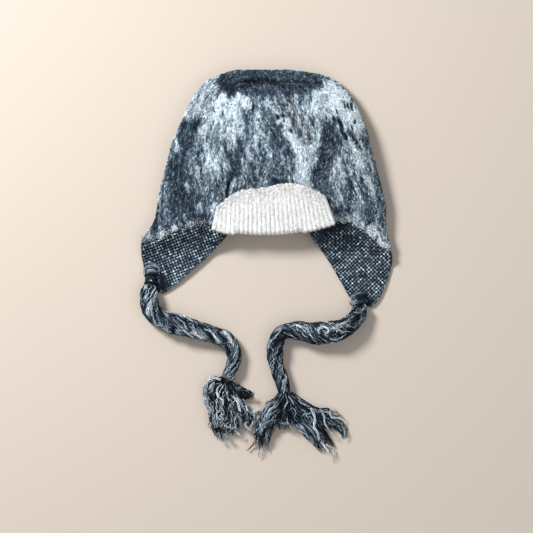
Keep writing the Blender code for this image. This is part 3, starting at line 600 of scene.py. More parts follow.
def crown_slopes(turn, depth, e=2e-3):
    a = (crown_point(turn + e, depth) - crown_point(turn - e, depth)) / (2 * e)
    lower = np.maximum(depth - 0.3, 1e-3)
    b = (crown_point(turn, depth + 0.3) - crown_point(turn, lower)) / (depth + 0.3 - lower)[..., None]
    n = unit(np.cross(a, b))
    return a, b, n


def stroked(px, py):
    """Tone, brown and wale direction of the chart at places in pixels."""
    shape = np.shape(px)
    spread = (px - 268) / 110
    tone = np.full(shape, 0.42)
    brown = np.zeros(shape)
    lean = np.radians(19.0) * spread            # the wales converge upwards
    c2, s2 = 0.25 * np.cos(2 * lean), 0.25 * np.sin(2 * lean)
    for x0, y0, x1, y1, w, t, b in STROKES:
        run = np.array([x1 - x0, y1 - y0], float)
        f = np.clip(((px - x0) * run[0] + (py - y0) * run[1]) / (run @ run), 0, 1)
        away = np.hypot(px - x0 - f * run[0], py - y0 - f * run[1]) / w
        fade = np.exp(-away**2.6)
        tone = tone + (t - tone) * fade
        brown = brown + (b - brown) * fade
        if math.hypot(*run) > 7 and abs(run[1]) > abs(run[0]) * 0.7:
            a = 2 * math.atan2(run[0], run[1])
            wide = np.exp(-(away * w / (w + 4)) ** 2)
            c2, s2 = c2 + wide * math.cos(a), s2 + wide * math.sin(a)
    return tone, brown, np.arctan2(s2, c2) / 2


def gaps(px, py):
    dark = np.zeros(np.shape(px))
    for x, y, w, h, tilt in GAPS:
        a = math.radians(tilt)
        dx, dy = px - x, py - y
        across = dx * math.cos(a) - dy * math.sin(a)
        along = dx * math.sin(a) + dy * math.cos(a)
        dark = np.maximum(dark, np.exp(-(((across / w / 1.2) ** 2 + (along / h / 1.15) ** 2) ** 1.7)))
    return dark


def wale_noise(x, y, lean, width, length, octaves, seed):
    """Noise drawn out along the local lean, without shearing where it turns."""
    total, whole = np.zeros(np.shape(x)), np.zeros(np.shape(x))
    step_ = math.radians(22)
    for k in range(-3, 4):
        share = np.clip(1 - np.abs(lean - k * step_) / step_, 0, 1)
        a = k * step_
        # lean is measured in pixels, where y runs down
        u = x * math.cos(a) + y * math.sin(a)
        v = -x * math.sin(a) + y * math.cos(a)
        total = total + share * layers(u / width, v / length, octaves=octaves, seed=seed + 7 * k)
        whole = whole + share**2
    return total / np.sqrt(np.maximum(whole, 0.2))


def felt_tone(x, y, z, front):
    """Tone, brown and lean of the crown's wool at points in mm. front is 1 on
    the side that faces up and 0 on the back."""
    px, py = to_px(x, y)
    wx = 2.2 * noise(px / 9, py / 12, seed=3) + 1.1 * noise(px / 3.2, py / 5, seed=13)
    wy = 3.2 * noise(px / 8, py / 14, seed=4) + 1.8 * noise(px / 2.4, py / 6, seed=14)
    roll = step(95 - py, 0, 6)                  # the crease and the roll stay neat
    tone, brown, lean = stroked(px + wx * (1 - 0.75 * roll), py + wy * (1 - 0.85 * roll))
    streak = (wale_noise(x, y, lean, 3.0, 13.0, 2, 6)
              + 0.8 * wale_noise(x, y, lean, 1.5, 5.0, 2, 106))
    fine = noise(x / 1.1, y / 1.7, seed=16)
    calm = 1 - 0.62 * step(tone, 0.62, 0.95)    # the whitest wool is the smoothest
    drawn = calm * (0.58 + 0.42 * step(tone, 0.27, 0.42))      # and the darkest the least drawn out
    total = 0.46 + 1.06 * (tone - 0.42) + (0.30 - 0.15 * roll) * streak * drawn + 0.20 * fine * calm
    # the gaps are darkened here as painted shade
    total = total * (1 - 0.92 * gaps(px, py))
    plain = 0.38 + 0.16 * layers(x / 22, y / 40, octaves=3, seed=9) + 0.24 * streak + 0.1 * fine
    return plain + (total - plain) * front, np.clip(brown, 0, 0.8) * front, lean


# ============================================================ crown pieces
felt_stuff = wool_material("felt", grain=760, relief=0.6, spread=0.65, fuzz=0.08, stretch=(1.0, 0.5, 1.0))
fibre_stuff = wool_material("felt_fibres", grain=820, relief=0.2, spread=0.55, fuzz=0.08)


def crown_columns():
    """Turns spaced by length: close on the front, wider on the back."""
    fine = np.linspace(0, 2 * math.pi, 4001)
    p = crown_point(fine, np.full(fine.shape, 110.0))
    seg = np.linalg.norm(np.diff(p, axis=0), axis=1)
    mids = (fine[1:] + fine[:-1]) / 2
    seg = seg * np.where(np.sin(mids) > -0.12, 1.0, 0.28)
    along = np.concatenate([[0], np.cumsum(seg)])
    count = int(along[-1] / 0.95)
    return np.interp(np.arange(count) * along[-1] / count, along, fine)


def crown_rows():
    fine = np.concatenate([np.linspace(0.02, 2, 200), np.linspace(2.02, RIM_DEPTH, 3000)])
    p = crown_point(np.full(fine.shape, math.pi / 2), fine)
    along = np.concatenate([[0], np.cumsum(np.linalg.norm(np.diff(p, axis=0), axis=1))])
    return np.interp(np.linspace(0, along[-1], 183), along, fine)


def crown_surface(turn, depth):
    """The felt's surface with its small lumps and tufts, its colour tone."""
    p = crown_point(turn, depth)
    _, _, n = crown_slopes(turn, depth)
    x, y, z = p[..., 0], p[..., 1], p[..., 2]
    front = step(np.sin(turn), -0.25, 0.12)
    tone, brown, lean = felt_tone(x, y, z, front)
    ease = step(depth, 0.0, 6.0)
    lump = (0.55 * layers(x / 13, y / 19, z / 13, octaves=2, seed=21)
            + 0.20 * layers(x / 2.6, y / 7.0, z / 3, octaves=2, seed=22)
            + 0.16 * noise(x / 1.3, y / 2.0, z / 1.3, seed=23)
            + 0.25 * np.clip(tone - 0.45, -0.6, 0.6))
    lump = lump * ease * (0.25 + 0.75 * front)
    p = p + n * lump[..., None]
    p[..., 2] = np.maximum(p[..., 2], 0.06)
    return p, n, tone, brown


def make_crown():
    turns, depths = crown_columns(), crown_rows()[::-1]
    around = len(turns)
    t, d = np.meshgrid(turns, depths)
    outer, normals, tone, brown = crown_surface(t.ravel(), d.ravel())
    # the rim's edge is uneven, as felted wool leaves it
    rows = len(depths)
    ragged = 0.9 * layers(turns * 26, 0, octaves=2, seed=24)
    fade = step(1 - (np.arange(rows) / 7.0))
    outer = outer.reshape(rows, around, 3)
    outer[..., 1] += fade[:, None] * ragged[None] * np.where(np.sin(turns) > 0, 1, 0.3)
    outer = outer.reshape(-1, 3)
    inner_rows = np.concatenate([[0, 2, 4], np.linspace(8, rows - 3, 16).astype(int)])
    keep = (inner_rows[:, None] * around + np.arange(around)[None]).ravel()
    base = crown_point(t.ravel()[keep], d.ravel()[keep])
    inner = base - normals[keep] * FELT
    inner[:around, 1] = outer[:around, 1]
    low = inner[:, 2] < FELT * 0.9
    inner[low, 2] = np.maximum(inner[low, 2], FELT * 0.9)
    shift = rows * around
    points = np.vstack([outer, inner])
    quads = [grid_faces(rows, around, wrap=True, flip=True),
             grid_faces(len(inner_rows), around, wrap=True, start=shift)]
    k = np.arange(around)
    k2 = (k + 1) % around
    quads.append(np.stack([k, k2, shift + k2, shift + k], -1))
    tris = []
    top_out = len(points)
    points = np.vstack([points, outer[(rows - 1) * around:].mean(0), inner[(len(inner_rows) - 1) * around:].mean(0)])
    a = (rows - 1) * around
    tris.append(np.stack([a + k2, a + k, np.full(around, top_out)], -1))
    b = shift + (len(inner_rows) - 1) * around
    tris.append(np.stack([b + k, b + k2, np.full(around, top_out + 1)], -1))
    colours = wool(tone, brown) * FELT_TINT
    inside = wool(0.30 + 0.12 * layers(inner[:, 0] / 6, inner[:, 1] / 14, seed=25))
    colours = np.vstack([colours, inside, colours[-1:], inside[-1:]])
    return make_piece("crown_felt", points, np.vstack(quads), np.vstack(tris), colours, felt_stuff)


def fan(x):
    """The lean that the crown's own rows of points already have."""
    return np.radians(19.0) * (x - 3.0) / 115.0


def felt_fibres(name, count, low, high, length, width, seed):
    """Short felted fibres lying along the wales, a little curled and lifted."""
    r = np.random.default_rng(seed)
    kept_t, kept_d, kept = [], [], 0
    while kept < count:
        t = r.uniform(low, high, count * 3)
        d = r.uniform(1.0, RIM_DEPTH + 0.5, count * 3)
        a, b, _ = crown_slopes(t, d)
        area = np.linalg.norm(np.cross(a, b), axis=1)
        ok = r.uniform(0, 1, len(t)) < area / 260.0
        kept_t.append(t[ok])
        kept_d.append(d[ok])
        kept += int(ok.sum())
    t, d = np.concatenate(kept_t)[:count], np.concatenate(kept_d)[:count]
    a, b, n = crown_slopes(t, d)
    p = crown_point(t, d)
    front = step(np.sin(t), -0.25, 0.12)
    tone, brown, lean = felt_tone(p[:, 0], p[:, 1], p[:, 2], front)
    spin = np.where(front > 0.5, lean - fan(p[:, 0]), 0.0) + r.normal(0, 0.31, count)
    # fibres over the gaps sink and are painted darker, as shade
    slot = gaps(*to_px(p[:, 0], p[:, 1])) * front
    metric_a, metric_b = np.linalg.norm(a, axis=1), np.linalg.norm(b, axis=1)
    long = length * r.uniform(0.6, 1.4, count)
    curl, phase = r.uniform(0.3, 1.1, count), r.uniform(0, 6.3, count)
    lift = r.uniform(0.15, 0.75, count) * (1 + 0.4 * front) * (1 - 0.9 * step(slot, 0.1, 0.6)) - 0.7 * step(slot, 0.2, 0.7)
    path = np.zeros((count, 4, 3))
    for i, f in enumerate((-0.5, -0.17, 0.17, 0.5)):
        go, aside = f * long, curl * np.sin(phase + f * 5.0) * (long / length)
        down = go * np.cos(spin) - aside * np.sin(spin)
        over = go * np.sin(spin) + aside * np.cos(spin)
        ti = t - over / np.maximum(metric_a, 6.0)
        di = np.clip(d + down / np.maximum(metric_b, 0.4), 0.6, RIM_DEPTH + 1.6)
        q = crown_point(ti, di)
        high_ = (0.05, 1.0, 0.9, 0.15)[i]
        path[:, i] = q + n * (0.25 + lift * high_)[:, None]
        if i == 1:
            path[:, 0] -= n * 0.3
    path[..., 2] = np.maximum(path[..., 2], 0.1)
    shade = tone + r.normal(0, 0.26, count) * (0.26 + 0.98 * np.clip(tone, 0.1, 0.7)) * (1 - 0.5 * step(tone, 0.7, 1.0)) + 0.03
    return make_piece(name, *spindle_parts(path, width * r.uniform(0.6, 1.3, count), wool(np.clip(shade, 0, 1) * (1 - 0.8 * step(slot, 0.1, 0.6)), brown) * FELT_TINT, n), fibre_stuff)


# ============================================================ brim
def brim_mid(cols, rows_up, rows_round, rows_in):
    share = np.linspace(0, 1, cols)
    s, fx, fy, ex, ey = columns(BRIM, 0, 1, 2, 3, 4)
    fold = np.stack([through(s, fx)(share), through(s, fy)(share)], -1)
    edge = np.stack([through(s, ex)(share), through(s, ey)(share)], -1)
    radius = FELT / 2 + GAP + 0.15 + RIB / 2
    across = unit(fold - edge)
    wrap = step((share - FOLD_FROM) / 0.04) * step((FOLD_TO - share) / 0.04)
    reach = 0.3 + (radius + RIB / 2 - 0.3) * wrap
    hinge = fold - across * reach[:, None]
    lines = []
    for t in np.linspace(0, 1, rows_up):
        xy = edge * (1 - t) + hinge * t
        z = top_z(xy[:, 0], TOP_Y - xy[:, 1]) + GAP + 0.2 + RIB / 2
        lines.append(np.concatenate([xy, z[:, None]], 1))
    level = lines[-1][:, 2] - radius
    for t in np.linspace(0, 1, rows_round + 1)[1:]:
        a = math.pi * t
        xy = hinge + across * (reach - RIB / 2)[:, None].clip(0.05) * math.sin(a)
        z = level + radius * math.cos(a)
        lines.append(np.concatenate([xy, z[:, None]], 1))
    for t in np.linspace(0, 1, rows_in + 1)[1:]:
        xy = hinge - across * BRIM_TUCK * t
        lines.append(np.concatenate([xy, (level - radius + 1.2 * t)[:, None]], 1))
    return np.array(lines), share, wrap


RIBS = 27
brim_stuff = wool_material("brim_wool", grain=1000, relief=0.35, spread=0.07, fuzz=0.5, tint=(1, 1, 1))


def rib_relief(share, along):
    """Height of the ribs and of the stitches up them."""
    wander = 0.05 * noise(share * 9, along / 16, seed=31)
    phase = share * RIBS + wander
    local = phase - np.floor(phase)                   # 0 and 1 are furrows
    crest = np.sin(math.pi * local) ** 0.55
    deep = (0.44 + 0.56 * step(along, 4, 28)) * (1.0 + 0.2 * noise(share * 14, along / 24, seed=32))
    stitch = np.sin(2 * math.pi * (along / 2.9 + 0.7 * np.abs(local - 0.5) + 0.37 * np.floor(phase)))
    grain = (0.34 - 0.12 * step(along, 6, 30)) * noise(share * 130, along / 1.3, seed=33)
    return deep * (crest - 0.62) * 0.92 + 0.30 * stitch * (0.4 + 0.6 * crest) + grain


def make_brim():
    up, round_, in_ = 46, 12, 7
    cols = RIBS * 8 + 1
    mid, share, wrap = brim_mid(cols, up, round_, in_)
    rows = mid.shape[0]
    along = np.concatenate([np.zeros((1, cols)), np.cumsum(np.linalg.norm(np.diff(mid, axis=0), axis=2), 0)])
    n = unit(np.cross(np.gradient(mid, axis=0), np.gradient(mid, axis=1)))
    if n[up // 2, :, 2].mean() < 0:
        n = -n
    s = np.broadcast_to(share, (rows, cols))
    h = rib_relief(s, along)
    free = step(along / 0.6) ** 0.5                   # the bound edge is rounded
    sides = np.minimum(step(s / 0.012), step((1 - s) / 0.012)) ** 0.5
    thick = RIB / 2 * (0.30 + 0.70 * np.minimum(0.75 + 0.25 * free, sides))
    upper = mid + n * (thick + h * (0.55 + 0.45 * free) * sides * 0.9)[..., None]
    lower = mid - n * (thick * 0.85)[..., None]
    edge_wave = 0.9 * noise(share * 34, 3.3, seed=34) + 0.5 * noise(share * 90, 7.3, seed=38) + 0.4 * np.sin(share * RIBS * 2 * math.pi)
    pull = step(1 - np.arange(rows) / 5.0)[:, None] * edge_wave[None]
    upper[..., 1] += pull
    lower[..., 1] += pull
    cells = (share[1:] + share[:-1]) / 2
    present = np.ones((rows - 1, cols - 1), bool)
    present[up:, (cells < FOLD_FROM) | (cells > FOLD_TO)] = False
    r, c = np.nonzero(present)
    a, b = r * cols + c, r * cols + c + 1
    d, e = a + cols, b + cols
    under = rows * cols
    quads = [np.stack([a, d, e, b], -1), np.stack([under + a, under + b, under + e, under + d], -1)]
    sides_, first = {}, []
    for i, j in ((a, b), (b, e), (e, d), (d, a)):
        first.append(np.stack([i, j], -1))
    pairs = np.vstack(first)
    key = np.sort(pairs, 1)
    _, where, times = np.unique(key[:, 0] * (under + 1) + key[:, 1], return_index=True, return_counts=True)
    lone = pairs[where[times == 1]]
    quads.append(np.stack([lone[:, 0], lone[:, 1], under + lone[:, 1], under + lone[:, 0]], -1))
    quads = np.vstack(quads)
    points = np.vstack([upper.reshape(-1, 3), lower.reshape(-1, 3)])
    used = np.unique(quads)
    number = np.zeros(len(points), int)
    number[used] = np.arange(len(used))
    # painted shade: the furrows between the ribs are darkened, in dashes along the stitches and more so away from the
    # free edge
    furrow = step((h + 0.55) / 0.7)
    stain_x, stain_y = at(287, 188)
    stain = np.exp(-(((mid[..., 0] - stain_x) / 6) ** 2 + ((mid[..., 1] - stain_y) / 5) ** 2))
    dash = 0.5 + 0.5 * np.sin(2 * math.pi * (along / 2.9 + 0.37 * np.floor(s * RIBS + 0.5)))
    low = (0.18 + 0.30 * step(along, 6, 30)) * (0.40 + 1.2 * dash)
    cream = linear((240, 240, 239)) * (1 - low * (1 - furrow))[..., None]
    cream = cream * (1 + 0.15 * noise(s * 170, along / 1.2, seed=37))[..., None]
    cream = cream * (1 + 0.04 * noise(s * 60, along / 5, seed=35))[..., None]
    warm = np.clip(0.5 * noise(s * 10, along / 12, seed=36) + 0.15, 0, 1)[..., None]
    cream = cream * (1 - warm * np.array([0.01, 0.015, 0.03]))
    cream = cream * (1 - stain[..., None] * np.array([0.10, 0.16, 0.26]))
    # the underside is painted 8% darker, as shade
    colours = np.vstack([cream.reshape(-1, 3), cream.reshape(-1, 3) * 0.92])
    piece = make_piece("brim_rib", points[used], number[quads], np.zeros((0, 3), int), colours[used], brim_stuff)
    return piece, mid, n, h, share


def brim_fibres(mid, n, h):
    """Soft white fibres over the brim and off its free edge."""
    r = np.random.default_rng(41)
    rows, cols = mid.shape[:2]
    count = 4600
    i = r.integers(0, 50, count)
    c = r.integers(2, cols - 3, count)
    edge = r.uniform(0, 1, count) < 0.20
    i[edge] = np.minimum(np.abs(r.normal(0, 7, edge.sum())), 30).astype(int)
    base = mid[i, c] + n[i, c] * (RIB / 2 + np.maximum(h[i, c], -0.4) * 0.8 + 0.05)[:, None]
    down = unit(mid[np.minimum(i + 1, rows - 1), c] - mid[i, c])
    over = unit(np.cross(n[i, c], down))
    spin = r.normal(0, 0.7, count)
    spin = np.where(edge, r.normal(0, 1.3, count), spin)
    long = r.uniform(1.3, 3.4, count) * np.where(edge, 1.35, 1.0)
    run = down * np.cos(spin)[:, None] + over * np.sin(spin)[:, None]
    bow = r.normal(0, 0.35, count)
    path = np.zeros((count, 4, 3))
    for k, f in enumerate((-0.5, -0.17, 0.17, 0.5)):
        lift = (0.0, 0.35, 0.35, 0.1)[k]
        path[:, k] = (base + run * (f * long)[:, None] + np.cross(n[i, c], run) * (bow * (1 - (2 * f) ** 2))[:, None]
                      + n[i, c] * lift)
    shade = linear((246, 247, 246)) * r.uniform(0.80, 1.07, (count, 1))
    return make_piece("brim_fibres", *spindle_parts(path, r.uniform(0.07, 0.15, count) * np.where(edge, 1.6, 1.0), shade, n[i, c]), brim_stuff)


# ============================================================ flaps
knit_stuff = wool_material("flap_yarn", grain=1300, relief=0.5, spread=0.45, fuzz=0.03)
# the near-black sheet under the flaps' yarns, painted shade for the gaps between stitches
shade_sheet_stuff = wool_material("flap_shade_sheet", grain=900, relief=0.4, spread=0.3, fuzz=0.05)


def rim_line(x):
    around = np.arange(CROWN_AROUND // 2)[::-1]
    rim = crown_point((around + 0.5) * 2 * math.pi / CROWN_AROUND, np.full(CROWN_AROUND // 2, RIM_DEPTH))
    return np.interp(x, rim[:, 0], rim[:, 1]), np.interp(x, rim[:, 0], rim[:, 2]) - FELT / 2


def flap_grid(seam, table, cols, rows):
    share = np.linspace(0, 1, cols)
    s, ex, ey, el = columns(table, 0, 1, 2, 3)
    edge = np.stack([through(s, ex)(share), through(s, ey)(share)], -1)
    lift = through(s, el)(share)
    x0 = seam[0] + (seam[1] - seam[0]) * share
    y0, z0 = rim_line(x0)
    z0 = z0 - 0.5
    grid = np.zeros((rows, cols, 3))
    for r, t in enumerate(np.linspace(0, 1, rows)):
        start = np.stack([x0, y0 + 0.5], -1)
        xy = start * (1 - t) + edge * t
        q = np.clip(np.linalg.norm(xy - start, axis=1) / FLAP_FALL, 0, 1)
        low = KNIT / 2 + FLOOR_GAP
        z = low + (z0 - low) * (1 - q) ** 2 * (1 + 2 * q) + lift * t**2
        grid[r] = np.concatenate([xy, z[:, None]], 1)
    return grid


class Height:
    """The height of a flap's middle over a place, from its grid of points."""

    def __init__(self, grid):
        self.p = grid.reshape(-1, 3)

    def __call__(self, xy):
        out = np.zeros(len(xy))
        for i in range(0, len(xy), 400):
            part = xy[i:i + 400]
            far = ((part[:, None] - self.p[None, :, :2]) ** 2).sum(-1)
            near = np.argpartition(far, 4, axis=1)[:, :4]
            w = 1 / (np.take_along_axis(far, near, 1) + 0.05)
            out[i:i + 400] = (self.p[near, 2] * w).sum(1) / w.sum(1)
        return out


def inside(xy, outline):
    x, y = xy[:, 0], xy[:, 1]
    result = np.zeros(len(xy), bool)
    x0, y0 = outline[-1]
    for x1, y1 in outline:
        cross = ((y1 > y) != (y0 > y)) & (x < (x0 - x1) * (y - y1) / (y0 - y1 + 1e-12) + x1)
        result ^= cross
        x0, y0 = x1, y1
    return result


def edge_distance(xy, outline):
    best = np.full(len(xy), 1e9)
    a = np.asarray(outline)
    b = np.roll(a, -1, axis=0)
    for p, q in zip(a, b):
        run = q - p
        t = np.clip(((xy - p) @ run) / max(run @ run, 1e-9), 0, 1)
        best = np.minimum(best, np.linalg.norm(xy - p - t[:, None] * run, axis=1))
    return best


def thin_sheet(name, grid, thickness, colours, stuff):
    rows, cols = grid.shape[:2]
    n = unit(np.cross(np.gradient(grid, axis=1), np.gradient(grid, axis=0)))
    if n[..., 2].mean() < 0:
        n = -n
    upper, lower = grid + n * thickness / 2, grid - n * thickness / 2
    flip = np.cross(grid[0, 1] - grid[0, 0], grid[1, 0] - grid[0, 0])[2] < 0
    under = rows * cols
    quads = [grid_faces(rows, cols, flip=flip), grid_faces(rows, cols, flip=not flip, start=under)]
    rim = np.concatenate([np.arange(cols), (np.arange(1, rows) * cols + cols - 1),
                          ((rows - 1) * cols + np.arange(cols - 2, -1, -1)), (np.arange(rows - 2, 0, -1) * cols)])
    nxt = np.roll(rim, -1)
    side = np.stack([rim, nxt, under + nxt, under + rim], -1)
    quads.append(side if flip else side[:, ::-1])
    points = np.vstack([upper.reshape(-1, 3), lower.reshape(-1, 3)])
    return make_piece(name, points, np.vstack(quads), np.zeros((0, 3), int), np.vstack([colours, colours]), stuff)


def make_flap(side, seam, table, tilt, seed, painted_shadows):
    """A near-black ground sheet, painted shade for the gaps between the stitches, with yarns woven over and under
    through it.
    """
    grid = flap_grid(seam, table, 90, 34)
    fine = flap_grid(seam, table, 150, 60)
    height = Height(fine)
    outline = np.vstack([grid[0, :, :2], grid[:, -1, :2][1:], grid[-1, ::-1, :2][1:], grid[::-1, 0, :2][1:-1]])
    flat = grid.reshape(-1, 3)
    # near-black: painted shade showing between the stitches
    ground = wool(0.02 + 0.03 * noise(flat[:, 0] / 3, flat[:, 1] / 3, seed=seed))
    sheet = thin_sheet(f"{side}_flap_shade_sheet", grid, 1.3, ground, shade_sheet_stuff)

    pitch, radius, sway = 2.98, 0.86, 0.80
    a = math.radians(tilt)
    axes = (np.array([math.cos(a), math.sin(a)]), np.array([-math.sin(a), math.cos(a)]))
    centre = outline.mean(0)
    parts = []
    per = 4                                          # points to each crossing
    for way, (run, across) in enumerate((axes, (axes[1], -axes[0]))):
        for line in range(-24, 25):
            k = np.arange(-24 * per, 24 * per + 1)
            s = k / per * pitch
            bend = 0.5 * noise(s / 22, line * 0.35, seed=seed + 1 + way)
            xy = centre + np.outer(s, run) + across * ((line * pitch + bend)[:, None])
            ok = inside(xy, outline)
            ok[ok] = edge_distance(xy[ok], outline) > 1.0
            starts = np.flatnonzero(ok & ~np.concatenate([[False], ok[:-1]]))
            ends = np.flatnonzero(ok & ~np.concatenate([ok[1:], [False]]))
            for i, j in zip(starts, ends):
                if j - i < 3:
                    continue
                q = xy[i:j + 1]
                kk = k[i:j + 1]
                over = np.cos(math.pi * (kk / per + line + way))
                z = height(q) + sway * over
                path = np.concatenate([q, z[:, None]], 1)
                r = radius * (0.84 + 0.24 * np.clip(over, -0.5, 1)) * (1 + 0.14 * noise(kk / per * 1.0, line, seed=seed + 5))
                cell = np.round(kk / per)
                fleck = noise(cell * 3.7 + 0.5, line * 5.3 + way * 71.7, seed=seed + 7)
                drift = layers(q[:, 0] / 13, q[:, 1] / 13, octaves=2, seed=seed + 9)
                px, py = to_px(q[:, 0], q[:, 1])
                # painted shadow: at the charted places and in a band under the crown's rim
                shadow = np.zeros(len(q))
                for sx, sy, w, h, amount in painted_shadows:
                    shadow = np.maximum(shadow, amount * np.exp(-(((px - sx) / w) ** 2 + ((py - sy) / h) ** 2)))
                rim_y, _ = rim_line(q[:, 0])
                shadow = np.maximum(shadow, 0.45 * np.exp(-(np.maximum(rim_y - q[:, 1], 0) / 3.2) ** 2))
                # painted shade: the yarn is darker where it dips under
                tone = 0.25 + 0.29 * over + 0.26 * fleck * step(over, -0.6, 0.4) + 0.12 * drift + 0.22 * np.clip(fleck - 0.25, 0, 1)
                parts.append(tube_parts(path[None], r[None], 5, wool(tone * (1 - shadow))[None]))
    stitches = make_piece(f"{side}_flap_stitches", *joined(*parts), knit_stuff)

    # a doubled, twisted edge round the flap's free side
    edge = flap_grid(seam, table, 240, 12)[-1]
    inward = unit(flap_grid(seam, table, 240, 12)[-2] - edge)
    s = np.concatenate([[0], np.cumsum(np.linalg.norm(np.diff(edge, axis=0), axis=1))])
    parts = []
    for strand in range(2):
        turn = 2 * math.pi * s / 5.2 + math.pi * strand
        path = edge + inward * (1.3 + 0.55 * np.cos(turn))[:, None]
        path[:, 2] += 0.1 + 0.55 * np.sin(turn)
        path[:, 2] = np.maximum(path[:, 2], 1.25)
        tone = 0.30 + 0.34 * noise(s / 1.3, strand * 9.1, seed=seed + 11) + 0.12 * noise(s / 14, strand, seed=seed + 12)
        parts.append(tube_parts(path[None], 0.74 + 0.2 * noise(s / 1.4, strand * 3.3, seed=seed + 13)[None], 5, wool(tone)[None]))
    border = make_piece(f"{side}_flap_edge", *joined(*parts), knit_stuff)
    return sheet, stitches, border, grid


# ============================================================ ties
tie_stuff = wool_material("tie_wool", grain=900, relief=0.5, spread=0.45, fuzz=0.02)
strand_stuff = wool_material("tie_strands", grain=1000, relief=0.3, spread=0.50, fuzz=0.02)


def tie_route(table, points=TIE_POINTS):
    rows = spline_points(table, points)
    radius = rows[:, 2] / 2
    z = radius + FLOOR_GAP
    z[0], z[-1] = z[1], z[-2]
    return np.column_stack([rows[:, 0], rows[:, 1], z, radius])


def along_route(table, count):
    r = tie_route(table, count)
    p = r[:, :3]
    t = unit(np.gradient(p, axis=0))
    side = unit(np.cross(t, [0, 0, 1.0]))
    up = np.cross(side, t)
    s = np.concatenate([[0], np.cumsum(np.linalg.norm(np.diff(p, axis=0), axis=1))])
    return p, r[:, 3], side, up, s


TWIST = 92.0                 # mm of tie to one turn of its strands

# Light locks and black furrows on the ties' upper side, charted.
# the black furrow marks are painted shade
TIE_MARKS = [  # px_from, py_from, px_to, py_to, half_width, tone
    (157, 289, 147, 313, 2.6, 0.66), (146, 290, 146, 297, 1.8, 0.80), (142, 290, 142, 308, 2.4, 0.08),
    (151, 286, 149, 300, 1.6, 0.06), (160, 300, 162, 318, 3.0, 0.06), (150, 318, 158, 330, 2.2, 0.48),
    (156, 308, 158, 322, 2.2, 0.10), (165, 311, 184, 316, 2.0, 0.56), (171, 316, 186, 319, 2.6, 0.03),
    (180, 315, 197, 323, 1.6, 0.74), (184, 321, 201, 327, 2.6, 0.04), (166, 322, 172, 330, 3.0, 0.16),
    (171, 328, 196, 335, 5.0, 0.60), (180, 331, 188, 333, 2.4, 0.74), (190, 332, 203, 339, 2.0, 0.86),
    (201, 328, 214, 340, 2.2, 0.14), (206, 328, 219, 341, 1.5, 0.66), (210, 326, 224, 340, 1.8, 0.10),
    (222, 330, 232, 343, 1.7, 0.74), (214, 322, 226, 330, 2.4, 0.34), (160, 333, 178, 342, 2.4, 0.40),
    (232, 340, 236, 356, 1.6, 0.60), (228, 346, 231, 362, 2.2, 0.10), (236, 352, 232, 370, 2.0, 0.50),
    (226, 362, 230, 378, 2.0, 0.44), (222, 370, 221, 380, 1.6, 0.58),
    (355, 304, 362, 302, 1.8, 0.62), (362, 302, 366, 308, 1.8, 0.58), (366, 308, 360, 311, 1.8, 0.62),
    (358, 306, 361, 307, 2.4, 0.04), (353, 312, 358, 320, 3.0, 0.08), (363, 312, 360, 324, 2.0, 0.60),
    (352, 318, 346, 326, 2.4, 0.42), (317, 331, 323, 326, 2.2, 0.84), (323, 326, 329, 329, 2.2, 0.80),
    (329, 330, 326, 336, 2.2, 0.72), (318, 332, 321, 336, 2.0, 0.70), (323, 331, 324, 332, 1.6, 0.20),
    (331, 330, 337, 326, 1.8, 0.86), (337, 326, 347, 322, 1.6, 0.78), (333, 341, 344, 331, 1.6, 0.72),
    (338, 334, 340, 338, 2.2, 0.12), (322, 341, 337, 343, 1.6, 0.68), (305, 329, 313, 341, 1.7, 0.05),
    (313, 341, 326, 345, 1.6, 0.08), (309, 332, 317, 342, 1.3, 0.64), (298, 325, 306, 328, 1.6, 0.64),
    (306, 328, 307, 335, 1.6, 0.56), (300, 330, 303, 334, 2.0, 0.10), (283, 326, 296, 338, 1.6, 0.62),
    (268, 348, 270, 334, 1.8, 0.60), (270, 334, 283, 326, 2.0, 0.66), (274, 341, 283, 331, 2.6, 0.03),
    (286, 331, 294, 341, 1.6, 0.12), (273, 345, 276, 352, 1.6, 0.62), (278, 352, 281, 366, 2.6, 0.05),
    (270, 354, 274, 372, 2.2, 0.48), (280, 364, 283, 373, 1.6, 0.56), (284, 346, 283, 356, 1.8, 0.30),
    (283, 374, 286, 380, 1.4, 0.54), (280, 382, 287, 381, 1.3, 0.50), (283, 388, 286, 398, 2.0, 0.50),
    (342, 338, 352, 332, 2.4, 0.14), (330, 322, 340, 318, 2.0, 0.30), (310, 322, 326, 322, 2.4, 0.24),
    # the right tie's last stretch, grey down to its tassel
    (271, 346, 274, 364, 4.0, 0.40), (276, 368, 280, 382, 4.2, 0.42), (282, 386, 287, 397, 4.0, 0.46),
]


def laid_marks(marks, x, y, upper, tone):
    """Tone with the marks laid over it, and how far they raise or sink it."""
    px, py = to_px(x, y)
    px = px + 0.7 * noise(px / 3.0, py / 3.0, seed=201)
    py = py + 0.7 * noise(px / 3.0, py / 3.0, seed=202)
    raised = np.zeros(np.shape(px))
    for x0, y0, x1, y1, w, t in marks:
        run = np.array([x1 - x0, y1 - y0], float)
        f = np.clip(((px - x0) * run[0] + (py - y0) * run[1]) / (run @ run), 0, 1)
        away = np.hypot(px - x0 - f * run[0], py - y0 - f * run[1]) / (w * 0.9)
        fade = np.exp(-away**2.4) * upper * 0.9
        tone = tone + (t - tone) * fade
        raised = raised + (t - 0.34 - raised) * fade
    return tone, raised
